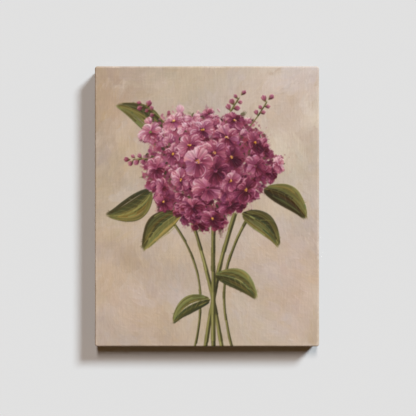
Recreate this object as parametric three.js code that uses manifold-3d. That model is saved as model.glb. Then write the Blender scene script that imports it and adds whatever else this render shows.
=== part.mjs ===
// A small painting on a stretched canvas, as it hangs on a wall.
//
// Four softwood stretcher bars meet in mitred corners, each locked by two tongues in two slots, and
// two wooden keys per corner spread the joint. One sheet of canvas wraps the bars, is folded over
// itself at the back of each corner and is stapled down. A sawtooth hanger is nailed to the top bar,
// and two rubber bumpers hold the lower edge off the wall.
//
// Millimetres. +Z is up and the picture faces -Y, so the wall is the plane y = 0. The origin is the
// point on the wall behind the hanger's middle notch, where the wall's nail goes in.

import * as THREE from "three";
import { mergeVertices } from "three/addons/utils/BufferGeometryUtils.js";
import Module from "manifold-3d";

// ---- Driving dimensions ----------------------------------------------------------------------

const FACE_WIDTH = 203.2; // 8 in
const FACE_HEIGHT = 254; // 10 in
const CLOTH = 0.6; // primed cotton canvas
const SEAT = 0.3; // gap between a piece and what it sits on or in

const EDGE_RADIUS = 1.4; // the canvas's roll over the front edges
const CORNER_RADIUS = 2.2; // the corners, seen from the front
const FLAP_WIDTH = 25; // canvas turned over onto the back of the bars
const FOLD_INSET = 1.6; // from the picture's edge to the outer edges of a corner's fold
const FOLD_END = 3; // height of the fold's blunt outer end

const BAR_WIDTH = 38;
const BAR_DEPTH = 17.2;
const LIP_WIDTH = 5; // flat top of the raised lip that carries the canvas
const LIP_SLOPE = 2.6;
const LIP_DROP = 1.6; // from the lip to the sloping face behind the canvas
const INNER_DROP = 3.6; // from the lip to the bar's inner edge

const TONGUE = 3; // thickness of a corner tongue
const TONGUE_WALL = 6; // wood left between a tongue and the picture's edge
const LAYERS = [4.5, 9]; // middle of each tongue's layer, in from the back of the bar
const KEY_ROOM = 4.5; // how far a slot runs past the inner corner, for the key

const KEY_LENGTH = 34;
const KEY_TIP = 1.5;
const KEY_HEEL = 8.5;
const KEY_CHAMFER = 1.2;
const KEY_SUNK = 12; // how much of the key is inside the slot

const STAPLE_CROWN = 10;
const STAPLE_LEG = 6.5;
const STAPLE_WIRE = 0.7;
const STAPLE_WIDTH = 1.2;
const STAPLE_INSET = 15; // from the picture's edge to the line of staples
const STAPLES_ACROSS = 5;
const STAPLES_UP = 7;
const PITCH_ACROSS = 26;
const PITCH_UP = 25;

const BUMPER_HEIGHT = 2.1;
const BUMPER_RADIUS = 5;
const BUMPER_FACE_RADIUS = 3.6;
const BUMPER_INSET = [36, 13]; // from the picture's side and from its bottom

const HANGER_LENGTH = 44;
const HANGER_HEIGHT = 9;
const HANGER_SHEET = 0.8;
const HANGER_PAD = 8; // flat end that a nail holds down
const HANGER_RAMP = 2.5;
const HANGER_RISE = 1.8;
const HANGER_INSET = 31.5; // from the picture's top to the middle of the hanger
const TEETH = 7;
const TOOTH_PITCH = 3;
const TOOTH_TIP = 0.2;
const TOOTH_DEPTH = 1.4;

const NAIL_LENGTH = 11;
const NAIL_RADIUS = 0.7;
const NAIL_HEAD = 0.6;
const NAIL_HEAD_RADIUS = 1.7;

// ---- Places that follow from them ------------------------------------------------------------

const FLAP_BACK = -(BUMPER_HEIGHT + SEAT); // outer face of the turned-over canvas
const WRAP = CLOTH + SEAT; // from the canvas's outer face to the bars
const BAR_BACK = FLAP_BACK - WRAP;
const BAR_FRONT = BAR_BACK - BAR_DEPTH;
const CANVAS_FRONT = BAR_FRONT - WRAP;

const [HALF_X, HALF_Z] = [FACE_WIDTH / 2, FACE_HEIGHT / 2];
const [FRAME_X, FRAME_Z] = [HALF_X - WRAP, HALF_Z - WRAP];
const [FLAP_X, FLAP_Z] = [HALF_X - FLAP_WIDTH, HALF_Z - FLAP_WIDTH];
const [STAPLE_X, STAPLE_Z] = [HALF_X - STAPLE_INSET, HALF_Z - STAPLE_INSET];
const HANGER_Z = HALF_Z - HANGER_INSET;
const HANGER_FRONT = BAR_BACK + SEAT;
const NAIL_X = (HANGER_LENGTH - HANGER_PAD) / 2;
const NOTCH_Z = HANGER_Z - HANGER_HEIGHT / 2 + TOOTH_DEPTH;
const FAR = 2 * FACE_HEIGHT; // longer than anything in the picture

const ROUND_STEPS = 6;
const DISC_STEPS = 32;
const SIDES = [
  ["left", -1],
  ["right", 1],
];
const ENDS = [
  ["bottom", -1],
  ["top", 1],
];

// ---- Materials -------------------------------------------------------------------------------

/** A plain finish. */
function finish(color, roughness, metalness = 0) {
  return new THREE.MeshStandardMaterial({ color, roughness, metalness });
}

/** Planed pine, for the stretcher bars. */
const pine = () => finish(0xd9b98a, 0.7);

/** Pale hardwood, for the keys. */
const keyWood = () => finish(0xe3cda4, 0.75);

/** Oil paint on primed canvas, in the picture's overall colour. */
const paintedCanvas = () => finish(0xc1ac98, 0.6);

/** Galvanised wire, for the staples. */
const zincedSteel = () => finish(0xb4b7ba, 0.4, 1);

/** Brass-plated steel, for the hanger and its nails. */
const brassedSteel = () => finish(0xc9a860, 0.35, 1);

/** Grey rubber, for the bumpers. */
const rubber = () => finish(0x8d8a85, 0.85);

// ---- Solids ----------------------------------------------------------------------------------

const wasm = await Module();
wasm.setup();

/** A closed three.js geometry as a manifold-3d solid. */
function solid(geometry) {
  const bare = geometry.index ? geometry.toNonIndexed() : geometry.clone();
  bare.deleteAttribute("normal");
  bare.deleteAttribute("uv");
  const merged = mergeVertices(bare, 1e-4);
  const mesh = new wasm.Mesh({
    numProp: 3,
    vertProperties: merged.attributes.position.array,
    triVerts: new Uint32Array(merged.index.array),
  });
  return new wasm.Manifold(mesh);
}

/** A manifold-3d solid as a flat-shaded three.js geometry. */
function geometryOf(made) {
  const mesh = made.getMesh();
  const geometry = new THREE.BufferGeometry();
  const points = new Float32Array(mesh.vertProperties);
  geometry.setAttribute("position", new THREE.BufferAttribute(points, 3));
  geometry.setIndex(new THREE.BufferAttribute(new Uint32Array(mesh.triVerts), 1));
  const flat = geometry.toNonIndexed();
  flat.computeVertexNormals();
  return flat;
}

/** A box between two values on each axis. */
function box([x0, x1], [y0, y1], [z0, z1]) {
  const geometry = new THREE.BoxGeometry(Math.abs(x1 - x0), Math.abs(y1 - y0), Math.abs(z1 - z0));
  return solid(geometry.translate((x0 + x1) / 2, (y0 + y1) / 2, (z0 + z1) / 2));
}

/** A closed outline of [x, z] points, filled between two values of y. */
function slab(points, [y0, y1]) {
  const shape = new THREE.Shape(points.map(([x, z]) => new THREE.Vector2(x, z)));
  const geometry = new THREE.ExtrudeGeometry(shape, { depth: Math.abs(y1 - y0), bevelEnabled: false });
  return solid(geometry.rotateX(Math.PI / 2).translate(0, Math.max(y0, y1), 0));
}

/** A round rod along y at x, z. */
function rod(radius, [x, z], [y0, y1]) {
  const geometry = new THREE.CylinderGeometry(radius, radius, Math.abs(y1 - y0), DISC_STEPS / 2);
  return solid(geometry.translate(x, (y0 + y1) / 2, z));
}

/** A solid of revolution about y, from its [radius, y] points. */
function turned(profile, steps) {
  const points = profile.map(([radius, y]) => new THREE.Vector2(radius, y));
  return new THREE.LatheGeometry(points, steps);
}

/** Solids joined into one. */
const joined = (solids) => solids.reduce((all, one) => all.add(one));

/** A solid made for the top right corner, moved to another by the signs of its x and z. */
function toCorner(made, signX, signZ) {
  const sided = signX < 0 ? made.mirror([1, 0, 0]) : made;
  return signZ < 0 ? sided.mirror([0, 0, 1]) : sided;
}

/** Swaps a solid's x and z, so that one made for the top bar fits the right one. */
function onItsSide(made) {
  return made.transform([0, 0, 1, 0, 0, 1, 0, 0, 1, 0, 0, 0, 0, 0, 0, 1]);
}

/** A rectangle centred on the origin, with rounded corners. */
function roundedRectangle(halfX, halfY, radius) {
  const [x, y] = [halfX - radius, halfY - radius];
  const shape = new THREE.Shape();
  shape.absarc(x, y, radius, 0, Math.PI / 2);
  shape.absarc(-x, y, radius, Math.PI / 2, Math.PI);
  shape.absarc(-x, -y, radius, Math.PI, 1.5 * Math.PI);
  shape.absarc(x, -y, radius, 1.5 * Math.PI, 2 * Math.PI);
  return shape;
}

/** The picture's block drawn in by inset, from y = back to a front whose edges are rolled over. */
function rolledBlock(inset, back, front) {
  const roll = EDGE_RADIUS - inset;
  const corner = CORNER_RADIUS - EDGE_RADIUS;
  const outline = roundedRectangle(HALF_X - EDGE_RADIUS, HALF_Z - EDGE_RADIUS, corner);
  const depth = back - front + roll;
  const geometry = new THREE.ExtrudeGeometry(outline, {
    depth,
    bevelThickness: roll,
    bevelSize: roll,
    bevelSegments: ROUND_STEPS,
    curveSegments: ROUND_STEPS,
  });
  geometry.rotateX(Math.PI / 2).translate(0, front + roll + depth, 0);
  // The rolled edges at the far end lie behind y = back and are cut off.
  return solid(geometry).intersect(box([-FAR, FAR], [back, front - 1], [-FAR, FAR]));
}

// ---- Canvas ----------------------------------------------------------------------------------

/** The second layer of cloth at the top right corner, where one flap is folded over the other. */
function cornerFold() {
  const [x, z] = [HALF_X - FOLD_INSET, HALF_Z - FOLD_INSET];
  const outline = [
    [FLAP_X, FLAP_Z],
    [x, z - FOLD_END],
    [x, z],
    [FLAP_X, z],
  ];
  return slab(outline, [FLAP_BACK - CLOTH / 2, FLAP_BACK + CLOTH]);
}

/** The canvas: one sheet over the front, round the sides and onto the back of the bars. */
function canvas(holes) {
  const outside = rolledBlock(0, FLAP_BACK, CANVAS_FRONT);
  const inside = rolledBlock(CLOTH, FLAP_BACK - CLOTH, CANVAS_FRONT + CLOTH);
  const window = box([-FLAP_X, FLAP_X], [FLAP_BACK + 1, FLAP_BACK - CLOTH - 1], [-FLAP_Z, FLAP_Z]);
  const folds = SIDES.flatMap(([, signX]) => ENDS.map(([, signZ]) => toCorner(cornerFold(), signX, signZ)));
  return outside.subtract(inside).subtract(window).add(joined(folds)).subtract(holes);
}

// ---- Stretcher bars --------------------------------------------------------------------------

/** A bar's section as [distance in from its outer edge, y], with the raised lip at the front. */
function barSection() {
  const roll = EDGE_RADIUS - WRAP;
  const section = new THREE.Shape();
  section.moveTo(0, BAR_BACK);
  section.lineTo(BAR_WIDTH, BAR_BACK);
  section.lineTo(BAR_WIDTH, BAR_FRONT + INNER_DROP);
  section.lineTo(LIP_WIDTH + LIP_SLOPE, BAR_FRONT + LIP_DROP);
  section.quadraticCurveTo(LIP_WIDTH + LIP_SLOPE / 3, BAR_FRONT, LIP_WIDTH, BAR_FRONT);
  section.lineTo(roll, BAR_FRONT);
  section.absarc(roll, BAR_FRONT + roll, roll, 1.5 * Math.PI, Math.PI, true);
  return section;
}

/** Square-ended bar stock along x, with its outer edge up at z = top. */
function barStock(halfLength, top) {
  const geometry = new THREE.ExtrudeGeometry(barSection(), {
    depth: 2 * halfLength,
    bevelEnabled: false,
    curveSegments: ROUND_STEPS,
  });
  // The section's x runs down, its y stays, and its length runs along x.
  const turn = new THREE.Matrix4().makeBasis(
    new THREE.Vector3(0, 0, -1),
    new THREE.Vector3(0, 1, 0),
    new THREE.Vector3(1, 0, 0),
  );
  return solid(geometry.applyMatrix4(turn).translate(-halfLength, 0, top));
}

/** The y of the back and front of a tongue's layer, widened on both sides by room. */
function layer(n, room = 0) {
  const middle = BAR_BACK - LAYERS[n];
  return [middle + TONGUE / 2 + room, middle - TONGUE / 2 - room];
}

/** The tongue on the right end of the top bar, in a frame of half sizes x, z. */
function tongue([x, z], n) {
  const reach = TONGUE_WALL + SEAT;
  return box([x - BAR_WIDTH - TONGUE, x - reach], layer(n), [z - BAR_WIDTH, z - reach]);
}

/** The slot in the right end of the top bar, for the upright bar's tongue and a key. */
function slot([x, z], n) {
  return box([x - BAR_WIDTH - KEY_ROOM, FAR], layer(n, SEAT), [z - BAR_WIDTH - 1, z - TONGUE_WALL]);
}

/** The top bar of a frame of half sizes x, z, with its tongues in one layer and slots in the other. */
function mitredBar([x, z], tongueLayer) {
  const gap = SEAT * Math.SQRT1_2;
  const mitres = [
    [gap - x, z],
    [gap - x + BAR_WIDTH, z - BAR_WIDTH],
    [x - BAR_WIDTH - gap, z - BAR_WIDTH],
    [x - gap, z],
  ];
  let made = barStock(x, z).intersect(slab(mitres, [BAR_BACK + 1, BAR_FRONT - 1]));
  for (const [, sign] of SIDES) {
    made = made.subtract(toCorner(slot([x, z], 1 - tongueLayer), sign, 1));
    made = made.add(toCorner(tongue([x, z], tongueLayer), sign, 1));
  }
  return made;
}

/** The four bars, by the side of the picture that each is on. */
function stretcherBars(holes) {
  const outline = rolledBlock(WRAP, BAR_BACK, BAR_FRONT);
  const across = mitredBar([FRAME_X, FRAME_Z], 0).intersect(outline);
  const upright = onItsSide(mitredBar([FRAME_Z, FRAME_X], 1)).intersect(outline);
  const bars = {
    top: across,
    bottom: toCorner(across, 1, -1),
    right: upright,
    left: toCorner(upright, -1, 1),
  };
  return Object.entries(bars).map(([side, bar]) => [side, bar.subtract(holes)]);
}

// ---- Keys ------------------------------------------------------------------------------------

/** The top right corner's wedge along x: straight edge up under the top bar, tip in the upright's slot. */
function key([x, z], n) {
  const tip = x - BAR_WIDTH + KEY_SUNK;
  const heel = tip - KEY_LENGTH;
  const edge = z - BAR_WIDTH - SEAT;
  const outline = [
    [heel, edge],
    [heel, edge - KEY_HEEL + KEY_CHAMFER],
    [heel + KEY_CHAMFER, edge - KEY_HEEL],
    [tip - KEY_CHAMFER, edge - KEY_TIP],
    [tip, edge - KEY_TIP / 2],
    [tip, edge],
  ];
  return slab(outline, layer(n));
}

/** All eight keys, two at each corner in different layers, each with its name. */
function keys() {
  const flat = key([FRAME_X, FRAME_Z], 0);
  const upright = onItsSide(key([FRAME_Z, FRAME_X], 1));
  return SIDES.flatMap(([side, signX]) =>
    ENDS.flatMap(([end, signZ]) => [
      [`key_${end}_${side}_flat`, toCorner(flat, signX, signZ)],
      [`key_${end}_${side}_upright`, toCorner(upright, signX, signZ)],
    ]),
  );
}

// ---- Staples ---------------------------------------------------------------------------------

/** A staple with its crown along x on y = 0, driven towards -y. */
function staple() {
  const half = STAPLE_CROWN / 2;
  const inner = half - STAPLE_WIRE;
  const outline = new THREE.Shape();
  outline.moveTo(-half, 0);
  outline.lineTo(-half, -STAPLE_LEG);
  outline.lineTo(-inner, -STAPLE_LEG + STAPLE_WIRE);
  outline.lineTo(-inner, 0);
  outline.lineTo(inner, 0);
  outline.lineTo(inner, -STAPLE_LEG + STAPLE_WIRE);
  outline.lineTo(half, -STAPLE_LEG);
  outline.lineTo(half, 0);
  outline.quadraticCurveTo(half, STAPLE_WIRE, inner, STAPLE_WIRE);
  outline.lineTo(-inner, STAPLE_WIRE);
  outline.quadraticCurveTo(-half, STAPLE_WIRE, -half, 0);
  const options = { depth: STAPLE_WIDTH, bevelEnabled: false, curveSegments: 3 };
  return new THREE.ExtrudeGeometry(outline, options).translate(0, 0, -STAPLE_WIDTH / 2);
}

/** The holes for a staple's two legs. */
function stapleHoles() {
  const middle = (STAPLE_CROWN - STAPLE_WIRE) / 2;
  const [reach, width] = [STAPLE_WIRE / 2 + SEAT, STAPLE_WIDTH / 2 + SEAT];
  const leg = box([middle - reach, middle + reach], [1, -STAPLE_LEG - SEAT], [-width, width]);
  return leg.add(toCorner(leg, -1, 1));
}

/** Where the staples go: name, the middle of the crown's underside, and the turn about y. */
function staplePlaces() {
  const onFlap = FLAP_BACK + SEAT;
  const onFold = onFlap + CLOTH;
  const places = [];
  for (const [end, sign] of ENDS) {
    for (let n = 0; n < STAPLES_ACROSS; n++) {
      const x = (n - (STAPLES_ACROSS - 1) / 2) * PITCH_ACROSS;
      places.push({ name: `staple_${end}_${n + 1}`, at: [x, onFlap, sign * STAPLE_Z], turn: 0 });
    }
  }
  for (const [side, sign] of SIDES) {
    for (let n = 0; n < STAPLES_UP; n++) {
      const z = (n - (STAPLES_UP - 1) / 2) * PITCH_UP;
      places.push({ name: `staple_${side}_${n + 1}`, at: [sign * STAPLE_X, onFlap, z], turn: 90 });
    }
    // One more across the mitre at each corner, on top of the fold.
    for (const [end, signZ] of ENDS) {
      const at = [sign * STAPLE_X, onFold, signZ * STAPLE_Z];
      places.push({ name: `staple_corner_${end}_${side}`, at, turn: 45 * sign * signZ });
    }
  }
  return places;
}

// ---- Hanger and bumpers ----------------------------------------------------------------------

/** A round nail driven towards -y, with the underside of its head at y = 0. */
function nail() {
  const profile = [
    [0, -NAIL_LENGTH],
    [NAIL_RADIUS, -NAIL_LENGTH + 2 * NAIL_RADIUS],
    [NAIL_RADIUS, 0],
    [NAIL_HEAD_RADIUS, 0],
    [NAIL_HEAD_RADIUS, NAIL_HEAD / 2],
    [NAIL_HEAD_RADIUS - NAIL_HEAD / 2, NAIL_HEAD],
    [0, NAIL_HEAD],
  ];
  return turned(profile, DISC_STEPS / 2);
}

/** The holes for both of the hanger's nails. */
function nailHoles() {
  const hole = rod(NAIL_RADIUS + SEAT, [NAIL_X, HANGER_Z], [0, BAR_BACK - NAIL_LENGTH]);
  return hole.add(toCorner(hole, -1, 1));
}

/** One notch of the hanger's lower edge, with its apex at x. */
function notch(x) {
  const half = (TOOTH_PITCH - TOOTH_TIP) / 2;
  const bottom = HANGER_Z - HANGER_HEIGHT / 2;
  const outline = [
    [x - half, bottom - 1],
    [x + half, bottom - 1],
    [x + half, bottom],
    [x, bottom + TOOTH_DEPTH],
    [x - half, bottom],
  ];
  return slab(outline, [0, BAR_BACK]);
}

/** The sawtooth hanger: a steel strip bowed off the bar, with notches along its lower edge. */
function hanger(holes) {
  const ends = [HANGER_LENGTH / 2, HANGER_LENGTH / 2 - HANGER_PAD];
  const crest = ends[1] - HANGER_RAMP;
  const front = [
    [-ends[0], 0],
    [-ends[1], 0],
    [-crest, HANGER_RISE],
    [crest, HANGER_RISE],
    [ends[1], 0],
    [ends[0], 0],
  ];
  const back = front.map(([x, y]) => [x, y + HANGER_SHEET]).reverse();
  const strip = new THREE.Shape([...front, ...back].map(([x, y]) => new THREE.Vector2(x, y)));
  const geometry = new THREE.ExtrudeGeometry(strip, { depth: HANGER_HEIGHT, bevelEnabled: false });
  geometry.translate(0, HANGER_FRONT, HANGER_Z - HANGER_HEIGHT / 2);
  const notches = [...Array(TEETH).keys()].map((n) => notch((n - (TEETH - 1) / 2) * TOOTH_PITCH));
  return solid(geometry).subtract(joined(notches)).subtract(holes);
}

/** A rubber bumper about y, with its flat face on the wall at y = 0. */
function bumper() {
  const shoulder = (BUMPER_RADIUS + BUMPER_FACE_RADIUS) / 2 + 0.3;
  const profile = [
    [0, -BUMPER_HEIGHT],
    [BUMPER_RADIUS, -BUMPER_HEIGHT],
    [BUMPER_RADIUS, -0.55 * BUMPER_HEIGHT],
    [shoulder, -0.14 * BUMPER_HEIGHT],
    [BUMPER_FACE_RADIUS, 0],
    [0, 0],
  ];
  return turned(profile, DISC_STEPS);
}

// ---- Assembly --------------------------------------------------------------------------------

const picture = new THREE.Group();
// The pieces are made about the middle of the picture, which hangs below the notch.
picture.position.z = -NOTCH_Z;

/** Adds a named piece at a place. */
function place(name, geometry, material, [x, y, z] = [0, 0, 0]) {
  const mesh = new THREE.Mesh(geometry, material);
  mesh.name = name;
  mesh.position.set(x, y, z);
  picture.add(mesh);
  return mesh;
}

const staples = staplePlaces();
const legHoles = joined(staples.map(({ at, turn }) => stapleHoles().rotate([0, turn, 0]).translate(at)));
const pinHoles = nailHoles();

for (const [side, bar] of stretcherBars(legHoles.add(pinHoles))) {
  place(`stretcher_bar_${side}`, geometryOf(bar), pine());
}
for (const [name, made] of keys()) {
  place(name, geometryOf(made), keyWood());
}
place("canvas", geometryOf(canvas(legHoles)), paintedCanvas());
for (const { name, at, turn } of staples) {
  place(name, staple(), zincedSteel(), at).rotation.y = THREE.MathUtils.degToRad(turn);
}
place("sawtooth_hanger", geometryOf(hanger(pinHoles)), brassedSteel());
for (const [side, sign] of SIDES) {
  const headY = HANGER_FRONT + HANGER_SHEET + SEAT;
  place(`hanger_nail_${side}`, nail(), brassedSteel(), [sign * NAIL_X, headY, HANGER_Z]);
  const footX = sign * (HALF_X - BUMPER_INSET[0]);
  place(`bumper_${side}`, bumper(), rubber(), [footX, 0, BUMPER_INSET[1] - HALF_Z]);
}

const part = new THREE.Group();
part.add(picture);

export default part;
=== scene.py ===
"""A small oil painting on a stretched canvas, as it hangs on a wall.

The frame brings the pine stretcher bars, their keys, the staples, the sawtooth hanger and the rubber
bumpers, which get their finishes here. The canvas is rebuilt as what it is: one sheet of primed cotton
wrapped round the bars, with a fold at each corner and a cut hem behind, and over it a film of oil paint
that is laid stroke by stroke.

Lengths are millimetres until a mesh is made. A place on the cloth is (u, v): right and up from the middle
of the picture, along the cloth as it lies flat.
"""

import json
import logging
import math
from collections.abc import Callable
from dataclasses import dataclass, field
from enum import Enum
from functools import partial

import bpy
import numpy as np
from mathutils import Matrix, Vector


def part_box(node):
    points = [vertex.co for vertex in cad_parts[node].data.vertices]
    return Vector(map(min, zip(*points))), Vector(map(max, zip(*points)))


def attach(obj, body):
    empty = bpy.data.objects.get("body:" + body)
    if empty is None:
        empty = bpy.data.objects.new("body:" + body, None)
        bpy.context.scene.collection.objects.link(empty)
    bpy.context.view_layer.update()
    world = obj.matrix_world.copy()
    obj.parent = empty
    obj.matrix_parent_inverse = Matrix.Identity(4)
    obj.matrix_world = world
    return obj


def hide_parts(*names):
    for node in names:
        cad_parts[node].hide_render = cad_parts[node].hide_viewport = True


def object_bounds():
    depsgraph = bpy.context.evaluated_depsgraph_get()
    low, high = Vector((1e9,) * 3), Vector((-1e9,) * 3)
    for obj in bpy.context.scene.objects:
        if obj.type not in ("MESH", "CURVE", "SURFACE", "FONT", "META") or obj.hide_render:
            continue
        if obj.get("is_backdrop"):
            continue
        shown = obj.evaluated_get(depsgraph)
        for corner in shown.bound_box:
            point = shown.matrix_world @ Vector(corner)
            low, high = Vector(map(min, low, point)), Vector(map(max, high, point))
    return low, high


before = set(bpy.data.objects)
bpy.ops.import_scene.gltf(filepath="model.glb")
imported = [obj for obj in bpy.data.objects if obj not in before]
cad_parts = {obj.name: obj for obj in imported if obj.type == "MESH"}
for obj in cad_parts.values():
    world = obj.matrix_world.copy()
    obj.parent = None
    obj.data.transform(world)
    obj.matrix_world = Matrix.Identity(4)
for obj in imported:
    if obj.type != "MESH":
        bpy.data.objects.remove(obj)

Array = np.ndarray
Pair = tuple[float, float]
Triple = tuple[float, float, float]
Material = bpy.types.Material
Piece = bpy.types.Object
Socket = bpy.types.NodeSocket
Adder = Callable[..., Socket]

CAD_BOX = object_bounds()
MM = 0.001
BODY = "root"
SEED = 7
SHEET_MAP = "Sheet"  # the map that holds a cloth's own u, v, in metres
BAKE_MAP = "OFBake"
LOG = logging.getLogger("painting")


# ---- Colour and chance ----


def srgb(code: str) -> Array:
    """A hex colour as its three sRGB values, from 0 to 1."""
    return np.array([int(code[at : at + 2], 16) / 255 for at in (1, 3, 5)])


def linear(colour: str | Array) -> Array:
    """Turns a hex code or sRGB values to linear: c / 12.92 when dark, else ((c + 0.055) / 1.055)^2.4."""
    value = srgb(colour) if isinstance(colour, str) else np.clip(colour, 0, 1)
    return np.where(value <= 0.04045, value / 12.92, ((value + 0.055) / 1.055) ** 2.4)


def per_metre(size: float) -> float:
    """The scale that draws a pattern of this size in mm: how many of them a metre holds."""
    return 1 / (size * MM)


def rgba(code: str) -> tuple[float, ...]:
    """A hex colour as the linear RGBA that a socket takes."""
    return (*(float(part) for part in linear(code)), 1.0)


def step(value: Array, start: float, end: float) -> Array:
    """A smooth rise from 0 at start to 1 at end: 3t^2 - 2t^3 of the clamped share t."""
    share = np.clip((np.asarray(value, float) - start) / (end - start), 0, 1)
    return share * share * (3 - 2 * share)


class Grain:
    """Smooth chance on a plane: random values at whole steps, eased from one to the next."""

    SIZE = 256

    def __init__(self, rng: np.random.Generator) -> None:
        """Draws the lattice, which repeats after SIZE steps."""
        self.tile = rng.uniform(-1, 1, (self.SIZE, self.SIZE))

    def at(self, x: Array, y: Array) -> Array:
        """The value, -1 to 1: a blend of the four lattice values about the point, each share eased.

        Args:
            x: Places along the first axis, in lattice steps.
            y: Places along the second axis, of a shape that broadcasts with x.

        Returns:
            The smooth values at those places.
        """
        x, y = np.broadcast_arrays(x, y)
        whole_x, whole_y = np.floor(x).astype(int), np.floor(y).astype(int)
        share_x, share_y = step(x - whole_x, 0, 1), step(y - whole_y, 0, 1)
        x0, x1 = whole_x % self.SIZE, (whole_x + 1) % self.SIZE
        y0, y1 = whole_y % self.SIZE, (whole_y + 1) % self.SIZE
        near = self.tile[x0, y0] * (1 - share_x) + self.tile[x1, y0] * share_x
        far = self.tile[x0, y1] * (1 - share_x) + self.tile[x1, y1] * share_x
        return near * (1 - share_y) + far * share_y


# ---- Paint and brush ----


class Palette(Enum):
    """The paints on the palette, each mixed from dark to light."""

    GROUND = ("#b09b86", "#bca791", "#c4b09d", "#ccbaaa", "#d8c9ba")
    WASH = ("#5c4733", "#735b45", "#8a7058")
    # pale paint for the front roll: rubbed edges, and a painted highlight that lightens the roll where it
    # turns from the light
    WORN_AND_HIGHLIT = ("#cdb8a2", "#dfcfbe", "#e9ddd0")
    BLOOM = ("#3a0d19", "#551a2d", "#722a42", "#8e3f59", "#a3576e", "#ba7685", "#cd969e", "#e1bdbe")
    LEAF = ("#242112", "#3c381d", "#56512b", "#716a39", "#8b844b", "#a8a164", "#c4bd86")
    GOLD = ("#7a431c", "#a8641f", "#cf8a2c", "#e2a544", "#f0c571", "#f7dd9f")

    def at(self, value: float) -> Array:
        """Mixes a paint, blended between the two nearest of the row.

        Args:
            value: From 0, dark, to 1, light.

        Returns:
            Its sRGB values.
        """
        table = np.array([srgb(code) for code in self.value])
        place = min(max(value, 0.0), 1.0) * (len(table) - 1)
        low = min(int(place), len(table) - 2)
        return table[low] + (table[low + 1] - table[low]) * (place - low)


@dataclass(frozen=True)
class Brush:
    """A loaded brush and the way it leaves its paint.

    width is the mark's, body the thickness of paint, both in mm. dry is the share of the stroke over
    which the paint runs out, taper and lift the share of the width lost at its end and at its start.
    ragged breaks the edges, streak varies the colour from bristle to bristle, and pitch is their width.
    grip is how much of a thin stroke only the tops of the threads take.
    """

    width: float
    opacity: float = 1.0
    body: float = 0.12
    dry: float = 0.5
    taper: float = 0.0
    lift: float = 0.0
    ragged: float = 0.6
    streak: float = 0.05
    pitch: float = 0.9
    grip: float = 0.2


def unit(angle: float) -> Array:
    """The direction of an angle."""
    return np.array([math.cos(angle), math.sin(angle)])


def one_long(vectors: Array) -> Array:
    """The directions of vectors: each over its length."""
    return vectors / (np.linalg.norm(vectors, axis=-1, keepdims=True) + 1e-9)


def square_to(direction: Array) -> Array:
    """The direction a quarter turn to the left."""
    return np.array([-direction[1], direction[0]])


def bezier(points: Array, share: Array | float) -> Array:
    """The cubic curve of four control points: each times its share of (rest + share)^3.

    Args:
        points: The control points.
        share: How far along, from 0 to 1, as a number or a column.

    Returns:
        The places on the curve.
    """
    rest = 1 - share
    first, second, third, fourth = points
    return rest**3 * first + 3 * rest**2 * share * second + 3 * rest * share**2 * third + share**3 * fourth


def through(points: Array) -> Array:
    """The cubic curve that passes four places, at thirds of its run.

    Args:
        points: The four places.

    Returns:
        Its control points.
    """
    first, second, third, last = points
    near = 3 * second - 1.5 * third + (2 * last - 5 * first) / 6
    far = 3 * third - 1.5 * second + (2 * first - 5 * last) / 6
    return np.array([first, near, far, last])


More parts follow.
